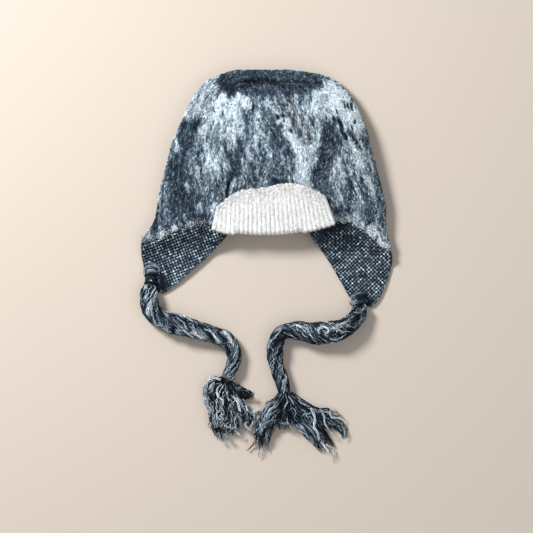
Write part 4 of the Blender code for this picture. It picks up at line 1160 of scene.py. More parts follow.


# Single pale strands that wander over the ties, charted.
TIE_CURLS = [  # side, tone, strands, places in pixels
    ("left", 0.86, 2, [(149, 284), (147, 289), (146, 294)]),
    ("left", 0.72, 3, [(155, 295), (151, 302), (147, 309), (146, 313)]),
    ("left", 0.62, 2, [(143, 288), (141, 296), (142, 304)]),
    ("left", 0.66, 1, [(161, 319), (165, 319), (168, 323), (165, 327)]),
    ("left", 0.70, 2, [(163, 311), (172, 313), (181, 315), (191, 319), (198, 323)]),
    ("left", 0.62, 1, [(172, 323), (178, 327), (186, 330)]),
    ("left", 0.78, 1, [(176, 330), (184, 331), (189, 334)]),
    ("left", 0.90, 2, [(189, 332), (195, 335), (201, 338), (207, 339)]),
    ("left", 0.84, 2, [(204, 329), (210, 331), (213, 335), (216, 340)]),
    ("left", 0.66, 1, [(208, 327), (215, 331), (218, 336), (223, 340)]),
    ("left", 0.86, 2, [(220, 332), (227, 335), (230, 340), (234, 346)]),
    ("left", 0.60, 1, [(196, 323), (206, 325), (215, 329)]),
    ("left", 0.66, 1, [(234, 340), (237, 348), (237, 355)]),
    ("left", 0.60, 2, [(236, 356), (233, 364), (228, 372)]),
    ("left", 0.74, 1, [(230, 364), (226, 371), (223, 378)]),
    ("left", 0.60, 1, [(226, 343), (231, 349), (232, 356)]),
    ("right", 0.84, 2, [(354, 305), (356, 303), (361, 302), (365, 305), (366, 309)]),
    ("right", 0.66, 1, [(352, 312), (358, 313), (362, 311), (366, 309)]),
    ("right", 0.70, 2, [(362, 314), (361, 320), (358, 325), (354, 329)]),
    ("right", 0.60, 1, [(350, 318), (350, 323), (346, 327)]),
    ("right", 0.96, 3, [(320, 334), (318, 331), (320, 328), (324, 327), (328, 329), (328, 332), (324, 334)]),
    ("right", 0.88, 1, [(322, 331), (325, 331), (324, 333)]),
    ("right", 0.92, 2, [(330, 329), (335, 328), (339, 325), (346, 322), (349, 319)]),
    ("right", 0.80, 2, [(337, 333), (338, 329), (342, 327), (346, 330)]),
    ("right", 0.74, 1, [(333, 332), (336, 330), (340, 331), (342, 334)]),
    ("right", 0.86, 2, [(328, 335), (331, 339), (337, 340), (342, 337), (347, 333)]),
    ("right", 0.70, 1, [(318, 336), (323, 339), (330, 343)]),
    ("right", 0.90, 1, [(298, 323), (305, 324), (308, 329), (309, 334), (315, 340)]),
    ("right", 0.74, 1, [(301, 326), (303, 330), (306, 333)]),
    ("right", 0.62, 1, [(313, 333), (316, 338), (321, 342)]),
    ("right", 0.66, 1, [(288, 326), (294, 330), (300, 336)]),
    ("right", 0.80, 2, [(271, 341), (274, 339), (278, 334), (283, 327)]),
    ("right", 0.72, 1, [(270, 335), (276, 329), (284, 325)]),
    ("right", 0.66, 1, [(270, 345), (273, 350), (272, 356)]),
    ("right", 0.74, 1, [(270, 363), (272, 370)]),
    ("right", 0.86, 1, [(278, 369), (280, 366), (283, 365)]),
    ("right", 0.86, 1, [(281, 379), (282, 375), (286, 376), (286, 379), (282, 381), (284, 384), (288, 383)]),
    ("right", 0.78, 1, [(281, 388), (286, 390), (289, 393)]),
    ("right", 0.60, 1, [(275, 352), (277, 360), (279, 366)]),
    ("right", 0.56, 1, [(283, 386), (288, 389), (291, 396)]),
]


def crinkled(places, count, seed, apart=0.7):
    """Two-dimensional paths in mm of strands crinkling side by side."""
    g = np.linspace(0, 1, 20)
    line = spline_points([(*at(px, py), 0.0, 0.0) for px, py in places], 20)[:, :2]
    t2 = unit(np.gradient(line, axis=0))
    out = np.stack([t2[:, 1], -t2[:, 0]], -1)
    long = np.linalg.norm(np.diff(line, axis=0), axis=1).sum()
    for k in range(count):
        sway = 0.40 * noise(g * long / 2.2, k * 3.7, seed=seed) + 0.25 * noise(g * long / 5.0, k * 9.1, seed=seed + 1)
        yield g, line + out * ((k - (count - 1) / 2) * apart + sway)[:, None], long


def bundle(S, A, R, whole, seed):
    """The bundle's radius, how deep its furrows are, and which strand is where."""
    ca, sa = np.cos(A), np.sin(A)
    slip = 0.55 * noise(S / 15, ca * 0.9 + 5, sa * 0.9, seed=seed)
    turn = (A + S / TWIST * 2 * math.pi) / (2 * math.pi)
    big = 4 * turn + slip
    local = big - np.floor(big)
    rope = np.sin(math.pi * local) ** 0.7
    small = 15 * turn + 1.6 * noise(S / 11, ca * 1.4, sa * 1.4, seed=seed + 1)
    bit = small - np.floor(small)
    yarn = np.sin(math.pi * bit) ** 0.8
    lump = noise(S / 9, ca * 1.1, sa * 1.1, seed=seed + 2)
    ends = 0.30 + 0.70 * np.minimum(step(S / 3.0), step((whole - S) / 3.0))
    r = R * ends * (0.80 + 0.165 * rope + 0.055 * yarn + 0.085 * lump)
    return r, rope, yarn, np.floor(small), np.floor(big)


def make_tie(side_name, table, seed):
    ground = 0.37 if side_name == "left" else 0.20
    count, around = 300, 56
    p, radius, side, up, s = along_route(table, count)
    a = np.arange(around) * 2 * math.pi / around
    A, S = np.meshgrid(a, s)
    R = np.broadcast_to(radius[:, None], A.shape)
    r, rope, yarn, which, _ = bundle(S, A, R, s[-1], seed)
    points = p[:, None] + side[:, None] * (r * np.cos(A))[..., None] + up[:, None] * (r * np.sin(A))[..., None]
    upper = step(np.sin(A), -0.1, 0.35)
    _, raised = laid_marks(TIE_MARKS, points[..., 0], points[..., 1], upper, np.zeros(A.shape))
    r = r * (1 + 0.16 * np.clip(raised, -0.5, 0.4))
    points = p[:, None] + side[:, None] * (r * np.cos(A))[..., None] + up[:, None] * (r * np.sin(A))[..., None]
    points[..., 2] = np.maximum(points[..., 2], 0.15)
    fine = layers(A * 9 + S / TWIST * 2 * math.pi * 9, S / 5, octaves=2, seed=seed + 3)
    level = ground + 0.18 * noise(S / 14, np.cos(A) * 1.3, np.sin(A) * 1.3, seed=seed + 9)
    level, _ = laid_marks(TIE_MARKS, points[..., 0], points[..., 1], upper, level)
    tone = level * (0.50 + 0.40 * noise(which * 7.7 + 0.5, S / 18, seed=seed + 4)) + 0.10 * fine
    # painted shade: darker down in the furrows between the plies and between the yarns
    tone = tone * (0.10 + 0.90 * step(rope, 0.2, 0.75)) * (0.35 + 0.65 * step(yarn, 0.15, 0.7))
    quads = grid_faces(count, around, wrap=True, flip=True)
    k = np.arange(around)
    k2 = (k + 1) % around
    centre = np.vstack([p[0], p[-1]])
    base, last = count * around, (count - 1) * around
    tris = np.vstack([np.stack([k, k2, np.full(around, base)], -1),
                      np.stack([last + k2, last + k, np.full(around, base + 1)], -1)])
    piece = make_piece(f"tie_{side_name}_bundle", np.vstack([points.reshape(-1, 3), centre]), quads, tris,
                       wool(np.concatenate([tone.ravel(), [0.05, 0.05]])), tie_stuff)

    # strands laid along the bundle, some of them white and crinkled
    r_ = np.random.default_rng(seed + 50)
    steps, many = 14, 900
    f = np.linspace(0, 1, steps)
    kind = r_.choice(3, many, p=[0.05, 0.37, 0.58] if side_name == "left" else [0.03, 0.27, 0.70])       # white, light, dark
    start_s = r_.uniform(-4, s[-1] - 5, many)
    start_a = r_.uniform(-0.55, math.pi + 0.55, many)
    long = r_.uniform(8, 25, many)
    index = np.arange(count)
    paths, radii, tones = [], [], []
    for j in range(many):
        ss = np.clip(start_s[j] + f * long[j], 0.4, s[-1] - 0.4)
        wave = r_.uniform(4.0, 9.0)
        amp = (0.15, 0.08, 0.05)[kind[j]] * r_.uniform(0.5, 1.5)
        kink = amp * (np.sin(ss / wave * 2 * math.pi + r_.uniform(0, 6))
                      + 0.9 * noise(ss / wave * 2.1, j * 3.1, seed=seed + 7))
        aa = start_a[j] - (ss - ss[0]) / TWIST * 2 * math.pi + kink + r_.normal(0, 0.22) * f
        at_ = np.interp(ss, s, index)
        cp, cs, cu = (np.stack([np.interp(at_, index, v[:, q]) for q in range(3)], 1) for v in (p, side, up))
        cs, cu = unit(cs), unit(cu)
        cr, rope_, yarn_, _, _ = bundle(ss, aa, np.interp(at_, index, radius), s[-1], seed)
        flat = cp + cs * (cr * np.cos(aa))[:, None]
        lit = step(np.sin(aa), -0.1, 0.35)
        level = ground + 0.18 * noise(ss / 14, np.cos(aa) * 1.3, np.sin(aa) * 1.3, seed=seed + 9)
        level, sunk = laid_marks(TIE_MARKS, flat[:, 0], flat[:, 1], lit, level)
        cr = cr * (1 + 0.16 * np.clip(sunk, -0.5, 0.4))
        high = cr + (r_.uniform(0.1, 0.6), r_.uniform(-0.15, 0.40), r_.uniform(-0.35, 0.15))[kind[j]]
        q = cp + cs * (high * np.cos(aa))[:, None] + cu * (high * np.sin(aa))[:, None]
        q[:, 2] = np.maximum(q[:, 2], 0.9)
        w = (r_.uniform(0.34, 0.52), r_.uniform(0.34, 0.58), r_.uniform(0.40, 0.82))[kind[j]]
        tone = (0.66 + 0.3 * level, 0.03 + 1.36 * level, 0.62 * level - 0.07)[kind[j]]
        tone = tone + r_.normal(0, (0.06, 0.09, 0.05)[kind[j]]) + 0.06 * noise(f * 11, j * 1.9, seed=seed + 10)
        # strands in a furrow are painted darker, as shade
        if kind[j]:
            tone = tone * (0.08 + 0.92 * step(rope_, 0.15, 0.62))
        paths.append(q)
        radii.append(w * np.sin(math.pi * np.clip(f, 0.04, 0.96)) ** 0.35)
        tones.append(np.clip(tone, 0, 1))
    wandering = []
    for j, (whose, tone, many_, places) in enumerate(TIE_CURLS):
        if whose != side_name:
            continue
        for g, xy, _ in crinkled(places, many_, seed + 300 + j):
            near = ((xy[:, None] - p[None, :, :2]) ** 2).sum(-1).argmin(1)
            off = ((xy - p[near, :2]) * side[near, :2]).sum(-1)
            a_ = np.arccos(np.clip(off / radius[near], -0.97, 0.97))
            rr, _, _, _, _ = bundle(s[near], a_, radius[near], s[-1], seed)
            _, sunk = laid_marks(TIE_MARKS, xy[:, 0], xy[:, 1], 1.0, np.zeros(len(xy)))
            rr = rr * (1 + 0.16 * np.clip(sunk, -0.5, 0.4))
            z = p[near, 2] + np.sqrt(np.maximum(rr**2 - off**2, 0.04 * rr**2)) + 0.45
            z = np.convolve(np.pad(z, 2, mode="edge"), np.ones(5) / 5, mode="valid")
            w = 0.42 * np.sin(math.pi * np.clip(g, 0.05, 0.95)) ** 0.4
            shade = tone - 0.08 + 0.12 * noise(g * 8, j * 2.3, seed=seed + 12)
            wandering.append(tube_parts(np.column_stack([xy, z])[None], w[None], 4, wool(shade)[None]))
    strands_ = make_piece(f"tie_{side_name}_fibres", *joined(
        tube_parts(np.array(paths), np.array(radii), 3, wool(np.array(tones))), *wandering), strand_stuff)
    return piece, strands_, p, s


# ============================================================ tassels
LEFT_LOCKS = [  # strands, then rows of px, py, half_width in mm, half_height in mm
    (20, [(227, 381, 4.6, 5.0), (220, 381, 5.4, 5.6), (213, 383, 5.8, 6.0), (209, 389, 5.2, 6.2),
          (209, 397, 4.4, 6.0), (212, 405, 5.0, 6.2), (215, 414, 5.4, 6.0), (217, 424, 5.4, 5.4)]),
    (24, [(227, 382, 4.8, 5.2), (222, 391, 7.0, 6.4), (219, 401, 8.6, 7.2), (218, 412, 8.6, 7.4),
          (219, 423, 8.0, 6.6), (221, 433, 6.0, 5.0), (223, 441, 5.0, 3.6)]),
    (26, [(227, 382, 4.8, 5.2), (228, 392, 8.0, 6.8), (230, 403, 9.4, 7.2), (231, 415, 9.4, 7.2),
          (230, 426, 9.0, 6.2), (228, 437, 7.0, 4.4)]),
    (22, [(228, 382, 4.6, 5.0), (233, 391, 6.4, 6.4), (237, 402, 7.4, 6.8), (240, 413, 8.4, 6.6),
          (240, 423, 8.4, 5.6), (238, 432, 6.8, 4.2)]),
    (13, [(231, 385, 3.2, 5.0), (239, 399, 4.4, 5.6), (244, 408, 4.6, 5.4), (248, 416, 4.2, 4.6),
          (250, 423, 3.4, 3.8), (249, 430, 2.6, 3.0)]),
    (12, [(230, 384, 3.8, 4.6), (237, 389, 4.2, 4.6), (244, 393, 3.8, 4.4), (249, 395, 3.6, 4.4), (253, 395.5, 3.4, 4.0)]),
]
RIGHT_LOCKS = [
    (26, [(284, 394, 6.0, 6.0), (279, 403, 7.6, 7.0), (272, 411, 9.0, 7.2), (267, 421, 9.6, 6.6),
          (263, 432, 8.8, 5.6), (261, 443, 7.6, 4.2), (260, 449, 6.6, 3.4)]),
    (24, [(285, 394, 6.0, 6.2), (287, 404, 9.2, 7.4), (289, 414, 12.0, 7.2), (291, 423, 12.4, 6.0), (293, 429, 11.0, 4.0)]),
    (28, [(288, 395, 6.4, 6.6), (296, 408, 9.8, 7.8), (306, 421, 11.0, 7.4), (315, 433, 9.8, 6.4),
          (323, 445, 8.0, 4.8), (328, 453, 6.2, 3.8)]),
    (20, [(288, 396, 6.2, 6.2), (300, 408, 8.6, 7.6), (313, 417, 9.0, 7.2), (325, 425, 8.0, 6.0), (333, 432, 6.0, 4.2)]),
    (16, [(289, 397, 5.0, 5.6), (300, 407, 5.8, 6.4), (312, 413, 5.8, 6.0), (326, 415, 6.0, 5.0), (341, 420, 3.6, 3.2)]),
    (8, [(318, 412, 4.6, 5.6), (330, 419, 4.6, 4.8), (339, 426, 4.0, 3.8), (344, 433, 3.0, 2.8), (344, 439, 1.8, 2.2)]),
]
TASSEL_MARKS = [  # px_from, py_from, px_to, py_to, half_width, tone
    (222, 381, 233, 387, 3.6, 0.04), (206, 379, 214, 383, 3.2, 0.72), (205, 388, 207, 397, 1.8, 0.56),
    (209, 392, 212, 400, 2.4, 0.04), (216, 386, 218, 396, 2.2, 0.44), (212, 404, 214, 410, 3.4, 0.30),
    (212, 411, 220, 420, 3.8, 0.54), (223, 424, 234, 428, 3.6, 0.50), (218, 434, 231, 440, 4.6, 0.56),
    (214, 428, 219, 431, 2.4, 0.14), (226, 404, 229, 418, 3.4, 0.18), (236, 393, 232, 400, 2.4, 0.50),
    # the mark from (240, 392) to (254, 396) is painted shade on the small lock's end
    (234, 408, 238, 424, 3.6, 0.34), (246, 412, 249, 422, 2.4, 0.46), (240, 392, 254, 396, 4.4, 0.06),
    (236, 402, 243, 410, 2.0, 0.12), (222, 398, 224, 408, 2.8, 0.30), (240, 426, 246, 430, 3.0, 0.36),
    (256, 428, 276, 420, 3.2, 0.52), (262, 418, 278, 410, 2.6, 0.36), (269, 406, 277, 402, 2.2, 0.46),
    (282, 402, 298, 420, 6.5, 0.10), (280, 424, 296, 427, 2.6, 0.54), (300, 410, 308, 424, 4.0, 0.16),
    (268, 442, 269, 452, 3.0, 0.50), (261, 440, 263, 450, 3.0, 0.10), (254, 436, 252, 446, 2.4, 0.14),
    (320, 444, 328, 455, 3.6, 0.74), (330, 446, 334, 454, 2.2, 0.60), (324, 428, 331, 440, 3.6, 0.10),
    (302, 426, 312, 436, 3.0, 0.44), (331, 411, 341, 418, 3.6, 0.44), (320, 414, 323, 428, 3.2, 0.16),
    (338, 427, 344, 436, 3.0, 0.46), (308, 430, 318, 444, 3.4, 0.30), (296, 400, 310, 404, 3.0, 0.16),
]


# The crinkled strands that stand out on the tassels, charted.
CURLS = [  # tassel, tone, radius in mm, places in pixels
    ("left", 0.92, 0.85, [(222, 384), (217, 389), (218, 396), (223, 401), (221, 409)]),
    ("left", 0.80, 1.9, [(221, 380), (214, 378), (207, 381), (206, 388)]),
    ("left", 0.74, 1.7, [(215, 383), (211, 386), (213, 391), (209, 394)]),
    ("left", 0.62, 1.4, [(206, 388), (206, 396), (209, 404)]),
    ("left", 0.10, 1.7, [(209, 392), (211, 398), (209, 402)]),
    ("left", 0.86, 1.2, [(231, 395), (237, 401), (239, 408), (242, 416)]),
    ("left", 0.60, 1.2, [(236, 394), (242, 404), (246, 413), (248, 420)]),
    ("left", 0.94, 1.8, [(250, 428), (253, 423), (254, 417), (253, 413), (256, 410), (260, 409)]),
    ("left", 0.90, 1.35, [(246, 421), (246, 426), (250, 430), (254, 427)]),
    ("left", 0.90, 0.8, [(235, 431), (240, 435), (246, 438)]),
    ("left", 0.82, 1.1, [(222, 410), (217, 413), (218, 418), (222, 420)]),
    ("left", 0.70, 0.9, [(223, 423), (228, 427), (234, 428), (236, 424)]),
    ("left", 0.66, 1.6, [(214, 414), (214, 421), (216, 428)]),
    ("left", 0.64, 1.8, [(218, 432), (220, 438), (224, 441)]),
    ("left", 0.60, 1.6, [(224, 433), (228, 438), (231, 439)]),
    ("left", 0.56, 1.2, [(231, 405), (234, 412), (240, 419), (243, 428)]),
    ("left", 0.06, 2.0, [(216, 427), (221, 430), (226, 433)]),
    ("left", 0.05, 2.2, [(226, 386), (231, 392), (229, 398)]),
    ("left", 0.05, 1.8, [(235, 406), (240, 413), (245, 421)]),
    # these two dark curls are painted shade on the small lock's end
    ("left", 0.07, 2.6, [(236, 391), (243, 396), (250, 395), (254, 395)]),
    ("left", 0.07, 2.2, [(235, 394), (243, 398), (249, 397), (253, 397)]),
    ("left", 0.40, 0.8, [(250, 394), (253, 395), (252, 397)]),
    ("right", 0.94, 1.15, [(311, 408), (314, 415), (315, 421), (314, 427), (318, 434), (319, 441)]),
    ("right", 0.80, 1.0, [(320, 409), (324, 416), (325, 424), (329, 430), (335, 435)]),
    ("right", 0.86, 0.95, [(330, 410), (331, 417), (336, 418), (345, 420)]),
    ("right", 0.60, 1.0, [(333, 409), (339, 414), (344, 419)]),
    ("right", 0.62, 1.1, [(340, 426), (344, 430), (345, 435), (343, 439)]),
    ("right", 0.70, 0.9, [(298, 400), (303, 404), (310, 407)]),
    ("right", 0.84, 0.9, [(288, 401), (286, 405), (284, 409)]),
    ("right", 0.72, 1.0, [(296, 424), (300, 431), (308, 436)]),
    ("right", 0.54, 1.3, [(279, 423), (287, 424), (295, 426), (303, 432)]),
    ("right", 0.60, 1.1, [(276, 401), (270, 404), (265, 411), (261, 418)]),
    ("right", 0.66, 1.1, [(277, 420), (270, 421), (263, 425), (257, 430), (253, 436)]),
    ("right", 0.50, 1.1, [(279, 409), (273, 413), (266, 420), (259, 424)]),
    ("right", 0.05, 1.8, [(272, 426), (265, 430), (262, 438), (260, 444)]),
    ("right", 0.05, 1.8, [(282, 406), (288, 412), (290, 420)]),
    ("right", 0.60, 1.1, [(266, 432), (267, 441), (269, 452)]),
    ("right", 0.62, 0.9, [(258, 437), (257, 446), (256, 452)]),
    ("right", 0.10, 0.8, [(258, 438), (252, 446), (247, 451)]),
    ("right", 0.08, 0.6, [(260, 440), (259, 450), (259, 458)]),
    ("right", 0.92, 1.5, [(321, 442), (325, 447), (328, 451), (327, 456)]),
    ("right", 0.90, 1.2, [(326, 444), (331, 448), (334, 450), (334, 455)]),
    ("right", 0.10, 2.0, [(323, 430), (330, 440), (334, 447)]),
    ("right", 0.56, 1.2, [(303, 422), (311, 430), (317, 440)]),
    ("right", 0.66, 0.9, [(309, 419), (306, 415), (311, 413)]),
    ("right", 0.62, 0.5, [(289, 411), (292, 408), (296, 412), (294, 417), (297, 421)]),
    ("right", 0.60, 0.8, [(301, 409), (305, 412), (302, 417)]),
]


def lock_top(xy, locks):
    """The height of the locks' upper side over places in mm."""
    best = np.full(len(xy), 2.2)
    for _, rows in locks:
        line = spline_points([(*at(px, py), w, h) for px, py, w, h in rows], 40)
        far = np.linalg.norm(xy[:, None] - line[None, :, :2], axis=2)
        near = far.argmin(1)
        u = np.clip(far[np.arange(len(xy)), near] / line[near, 2], 0, 1)
        best = np.maximum(best, FLOOR_GAP + line[near, 3] * (1 + np.sqrt(1 - u * u)) * (u < 1))
    return best


def make_tassel(side_name, locks, seed):
    r_ = np.random.default_rng(seed)
    steps = 32
    f = np.linspace(0, 1, steps)
    thick_paths, thick_r, thick_c = [], [], []
    thin_paths, thin_r, thin_c = [], [], []
    curly = 1.5 if side_name == "left" else 1.25
    for number, (count, rows) in enumerate(locks):
        line = spline_points([(*at(px, py), w, h) for px, py, w, h in rows], 60)
        s = np.linspace(0, 1, 60)
        t2 = unit(np.gradient(line[:, :2], axis=0))
        over2 = np.stack([t2[:, 1], -t2[:, 0]], -1)
        long = np.linalg.norm(np.diff(line[:, :2], axis=0), axis=1).sum()
        for j in range(int(count * 3.75)):
            thin = j >= count * 1.6
            reach = r_.uniform(0.62, 1.0)
            begin = r_.uniform(0, 0.6) if thin else r_.uniform(0.0, 0.3) * (r_.uniform() < 0.4)
            q = np.clip(begin + f * (reach - begin), 0, 1)
            u = r_.uniform(-0.94, 0.94)
            v = (r_.uniform(0.80, 1.0) if thin else r_.uniform(0.10, 0.92)) * math.sqrt(max(0.10, 1 - 0.9 * u * u))
            x, y, w, h = (np.interp(q, s, line[:, i]) for i in range(4))
            ox, oy = np.interp(q, s, over2[:, 0]), np.interp(q, s, over2[:, 1])
            free = step(q, 0.03, 0.35)
            wave = r_.uniform(6.0, 11.0) / math.sqrt(curly)
            amp = r_.uniform(0.5, 1.3) * curly
            wob = amp * (0.45 * np.sin(q * long / wave * 2 * math.pi + r_.uniform(0, 6))
                         + 1.0 * noise(q * long / wave * 1.9, j * 3.3 + number, seed=seed + 2)
                         + 0.5 * noise(q * long / 3.0, j * 4.7 + number, seed=seed + 9))
            wob_z = 1.3 * curly * noise(q * long / wave * 1.6, j * 5.1 + number, seed=seed + 3)
            drift = r_.normal(0, 0.34) * (q - begin)
            off = np.clip(u + drift, -1.12, 1.12) * w + wob * free
            ahead = 1.3 * curly * noise(q * long / 5.0, j * 2.7 + 40, seed=seed + 8) * free
            rad = r_.uniform(0.34, 0.60) if thin else r_.uniform(0.60, 1.15)
            z = 2 * h * v + wob_z * free + FLOOR_GAP
            z = np.maximum(z * (1 - 0.45 * step(q, 0.75, 1.0)), rad * 1.25 + 0.1)
            path = np.stack([x + ox * off + oy * ahead, y + oy * off - ox * ahead, z], 1)
            taper = np.clip((1.02 - f) * (4 if thin else 5.5), 0.12, 1) * np.clip(0.35 + f * 8, 0, 1)
            taper = taper * (0.9 + 0.28 * noise(f * 9, j, seed=seed + 4))
            level = (0.42 if side_name == "left" else 0.34) + 0.18 * noise(path[:, 0] / 9, path[:, 1] / 9, seed=seed + 21)
            level, _ = laid_marks(TASSEL_MARKS, path[:, 0], path[:, 1], 1.0, level)
            if thin:
                way, lift = ((0.8, 0.38), (1.75, 0.11), (0.6, 0.0), (0.05, 0.0))[r_.choice(4, p=[0.11, 0.33, 0.20, 0.36])]
                tone = lift + way * level + 0.10 * noise(f * 7, j * 1.7, seed=seed + 5) + 0.04 * r_.normal()
                thin_paths.append(path); thin_r.append(rad * taper); thin_c.append(wool(np.clip(tone, 0, 1)))
            else:
                way = (0.05, 0.4, 0.9, 1.35)[r_.choice(4, p=[0.34, 0.24, 0.22, 0.20])]
                tone = way * level + 0.12 * noise(f * 8, j * 2.3, seed=seed + 6)
                # painted shade: strands low in the lock, under the others, are darker
                tone = tone * (0.45 + 0.55 * step(v, 0.1, 0.6))
                thick_paths.append(path); thick_r.append(rad * taper); thick_c.append(wool(np.clip(tone, 0, 1)))
    tail = []
    for whose, tone, rad, places in CURLS:
        if whose != side_name:
            continue
        many_ = max(1, int(round(rad / 0.45)))
        for g, xy, _ in crinkled(places, many_, seed + 400 + len(tail), apart=0.72):
            z = lock_top(xy, locks) + 0.9 + 0.4 * noise(g * 4, len(tail) * 1.3, seed=seed + 13)
            z = np.convolve(np.pad(z, 3, mode="edge"), np.ones(7) / 7, mode="valid")
            w = 0.50 * np.sin(math.pi * np.clip(g, 0.05, 0.95)) ** 0.4
            shade = tone - 0.06 + 0.16 * noise(g * 7, len(tail) * 2.1, seed=seed + 15)
            tail.append(tube_parts(np.column_stack([xy, np.maximum(z, 0.8)])[None], w[None], 4, wool(np.clip(shade, 0, 1))[None]))
    thick = make_piece(f"tassel_{side_name}_locks", *tube_parts(np.array(thick_paths), np.array(thick_r), 4, np.array(thick_c)), strand_stuff)
    thin = make_piece(f"tassel_{side_name}_strands", *joined(
        tube_parts(np.array(thin_paths), np.array(thin_r), 3, np.array(thin_c)), *tail), strand_stuff)
    return thick, thin


# ============================================================ tie knots
KNOT_ARCS = [  # side, tone, radius in mm, height in mm, places in pixels
    ("left", 0.58, 1.5, 6.4, [(145, 274), (146, 269), (151, 266), (157, 267), (160, 272)]),
    ("left", 0.42, 1.3, 5.8, [(144, 270), (148, 265), (154, 264), (159, 268)]),
    ("left", 0.66, 1.3, 7.2, [(147, 275), (149, 271), (153, 270), (156, 273)]),
    ("left", 0.36, 1.3, 7.6, [(150, 276), (152, 273), (155, 275)]),
    ("left", 0.50, 1.2, 5.0, [(145, 277), (151, 278), (157, 276)]),
    ("left", 0.10, 1.4, 4.6, [(145, 279), (151, 280), (157, 279)]),
    ("left", 0.08, 1.4, 6.2, [(146, 277), (151, 277), (156, 278)]),
    ("left", 0.92, 0.9, 8.8, [(149, 279), (151, 281), (153, 280)]),
    # these four dark arcs are painted shadow on the flap's tip beside the tie
    ("left", 0.06, 1.7, 4.0, [(158, 270), (162, 278), (160, 286)]),
    ("left", 0.05, 1.6, 4.0, [(162, 280), (161, 287), (158, 292)]),
    ("left", 0.04, 2.0, 3.6, [(157, 280), (158, 285), (157, 291)]),
    ("left", 0.05, 1.6, 5.0, [(155, 283), (156, 287), (155, 291)]),
    ("right", 0.60, 1.4, 6.6, [(351, 300), (354, 296), (359, 294), (364, 295)]),
    ("right", 0.46, 1.3, 7.2, [(352, 302), (356, 298), (361, 297), (366, 298)]),
    ("right", 0.68, 1.2, 8.0, [(353, 304), (357, 300), (363, 299), (367, 302)]),
    ("right", 0.12, 1.3, 7.0, [(352, 300), (357, 297), (363, 296)]),
    ("right", 0.08, 1.6, 4.6, [(364, 296), (368, 300), (368, 306)]),
    ("right", 0.40, 1.4, 5.4, [(350, 302), (353, 305), (359, 306)]),
    ("right", 0.10, 1.5, 5.0, [(366, 300), (366, 305), (362, 309)]),
    ("right", 0.52, 1.1, 9.2, [(354, 304), (359, 302), (364, 304)]),
]


def make_knot(side_name, centre, wide, high, tilt, seed):
    """Dark strands wound round the flap's tip under the loops gathered there."""
    r_ = np.random.default_rng(seed)
    f = np.linspace(0, 2 * math.pi, 28)
    parts = []
    a = math.radians(tilt)
    for j in range(11):
        shift = -5.2 + j * 0.95 + r_.normal(0, 0.2)
        narrow = 0.74 + 0.24 * (shift / 5.2) ** 2
        rx, rz = wide * narrow * r_.uniform(0.94, 1.04), high * r_.uniform(0.84, 0.98)
        x = rx * np.cos(f)
        y = shift + 0.8 * np.sin(f + r_.uniform(-0.5, 0.5)) + 0.5 * np.cos(2 * f + j)
        z = np.maximum(high * 0.95 + rz * np.sin(f), 0.9)
        path = np.stack([centre[0] + x * math.cos(a) - y * math.sin(a),
                         centre[1] + x * math.sin(a) + y * math.cos(a), z], 1)
        tone = np.full(28, r_.choice([0.02, 0.08, 0.18])) + 0.05 * np.sin(f * 3 + j)
        parts.append(tube_parts(path[None], np.full((1, 28), r_.uniform(0.6, 0.9)), 5, wool(np.clip(tone, 0, 1))[None]))
    g = np.linspace(0, 1, 16)
    for j, (whose, tone, rad, top, places) in enumerate(KNOT_ARCS):
        if whose != side_name:
            continue
        line = spline_points([(*at(px, py), 0.0, 0.0) for px, py in places], 16)
        for k in range(4):
            # each loop is four thinner strands side by side
            aside = (k - 1.5) * rad * 0.55
            t2 = unit(np.gradient(line[:, :2], axis=0))
            xy = line[:, :2] + np.stack([t2[:, 1], -t2[:, 0]], -1) * (aside + 0.55 * noise(g * 6, j + k * 3.3, seed=seed)[:, None])
            z = top - 1.6 * (2 * g - 1) ** 2 - 0.3 * abs(k - 1.5) + 0.5 * noise(g * 4, j * 3 + k, seed=seed + 1)
            shade = np.clip(tone * (0.85, 1.1, 0.45, 0.95)[k] + 0.12 * noise(g * 7, j + k * 7.7, seed=seed + 2), 0, 1)
            taper = np.sin(math.pi * np.clip(g, 0.08, 0.92)) ** 0.4
            parts.append(tube_parts(np.column_stack([xy, np.maximum(z, 0.9)])[None], (rad * 0.40 * taper)[None], 4, wool(shade)[None]))
    return make_piece(f"tie_knot_{side_name}_wraps", *joined(*parts), strand_stuff)


# ============================================================ seam tufts
SEAM_WHITE = [  # side, px_from, py_from, px_to, py_to, half_width
    ("right", 349, 214, 366, 223, 2.6), ("right", 368, 224, 380, 238, 3.0), ("right", 379, 240, 389, 247, 2.4),
    ("left", 183, 217, 190, 222, 2.8), ("left", 196, 209, 203, 212, 2.6), ("left", 165, 214, 168, 217, 1.8),
    ("left", 172, 225, 176, 229, 2.0), ("left", 206, 213, 213, 210, 2.0),
]


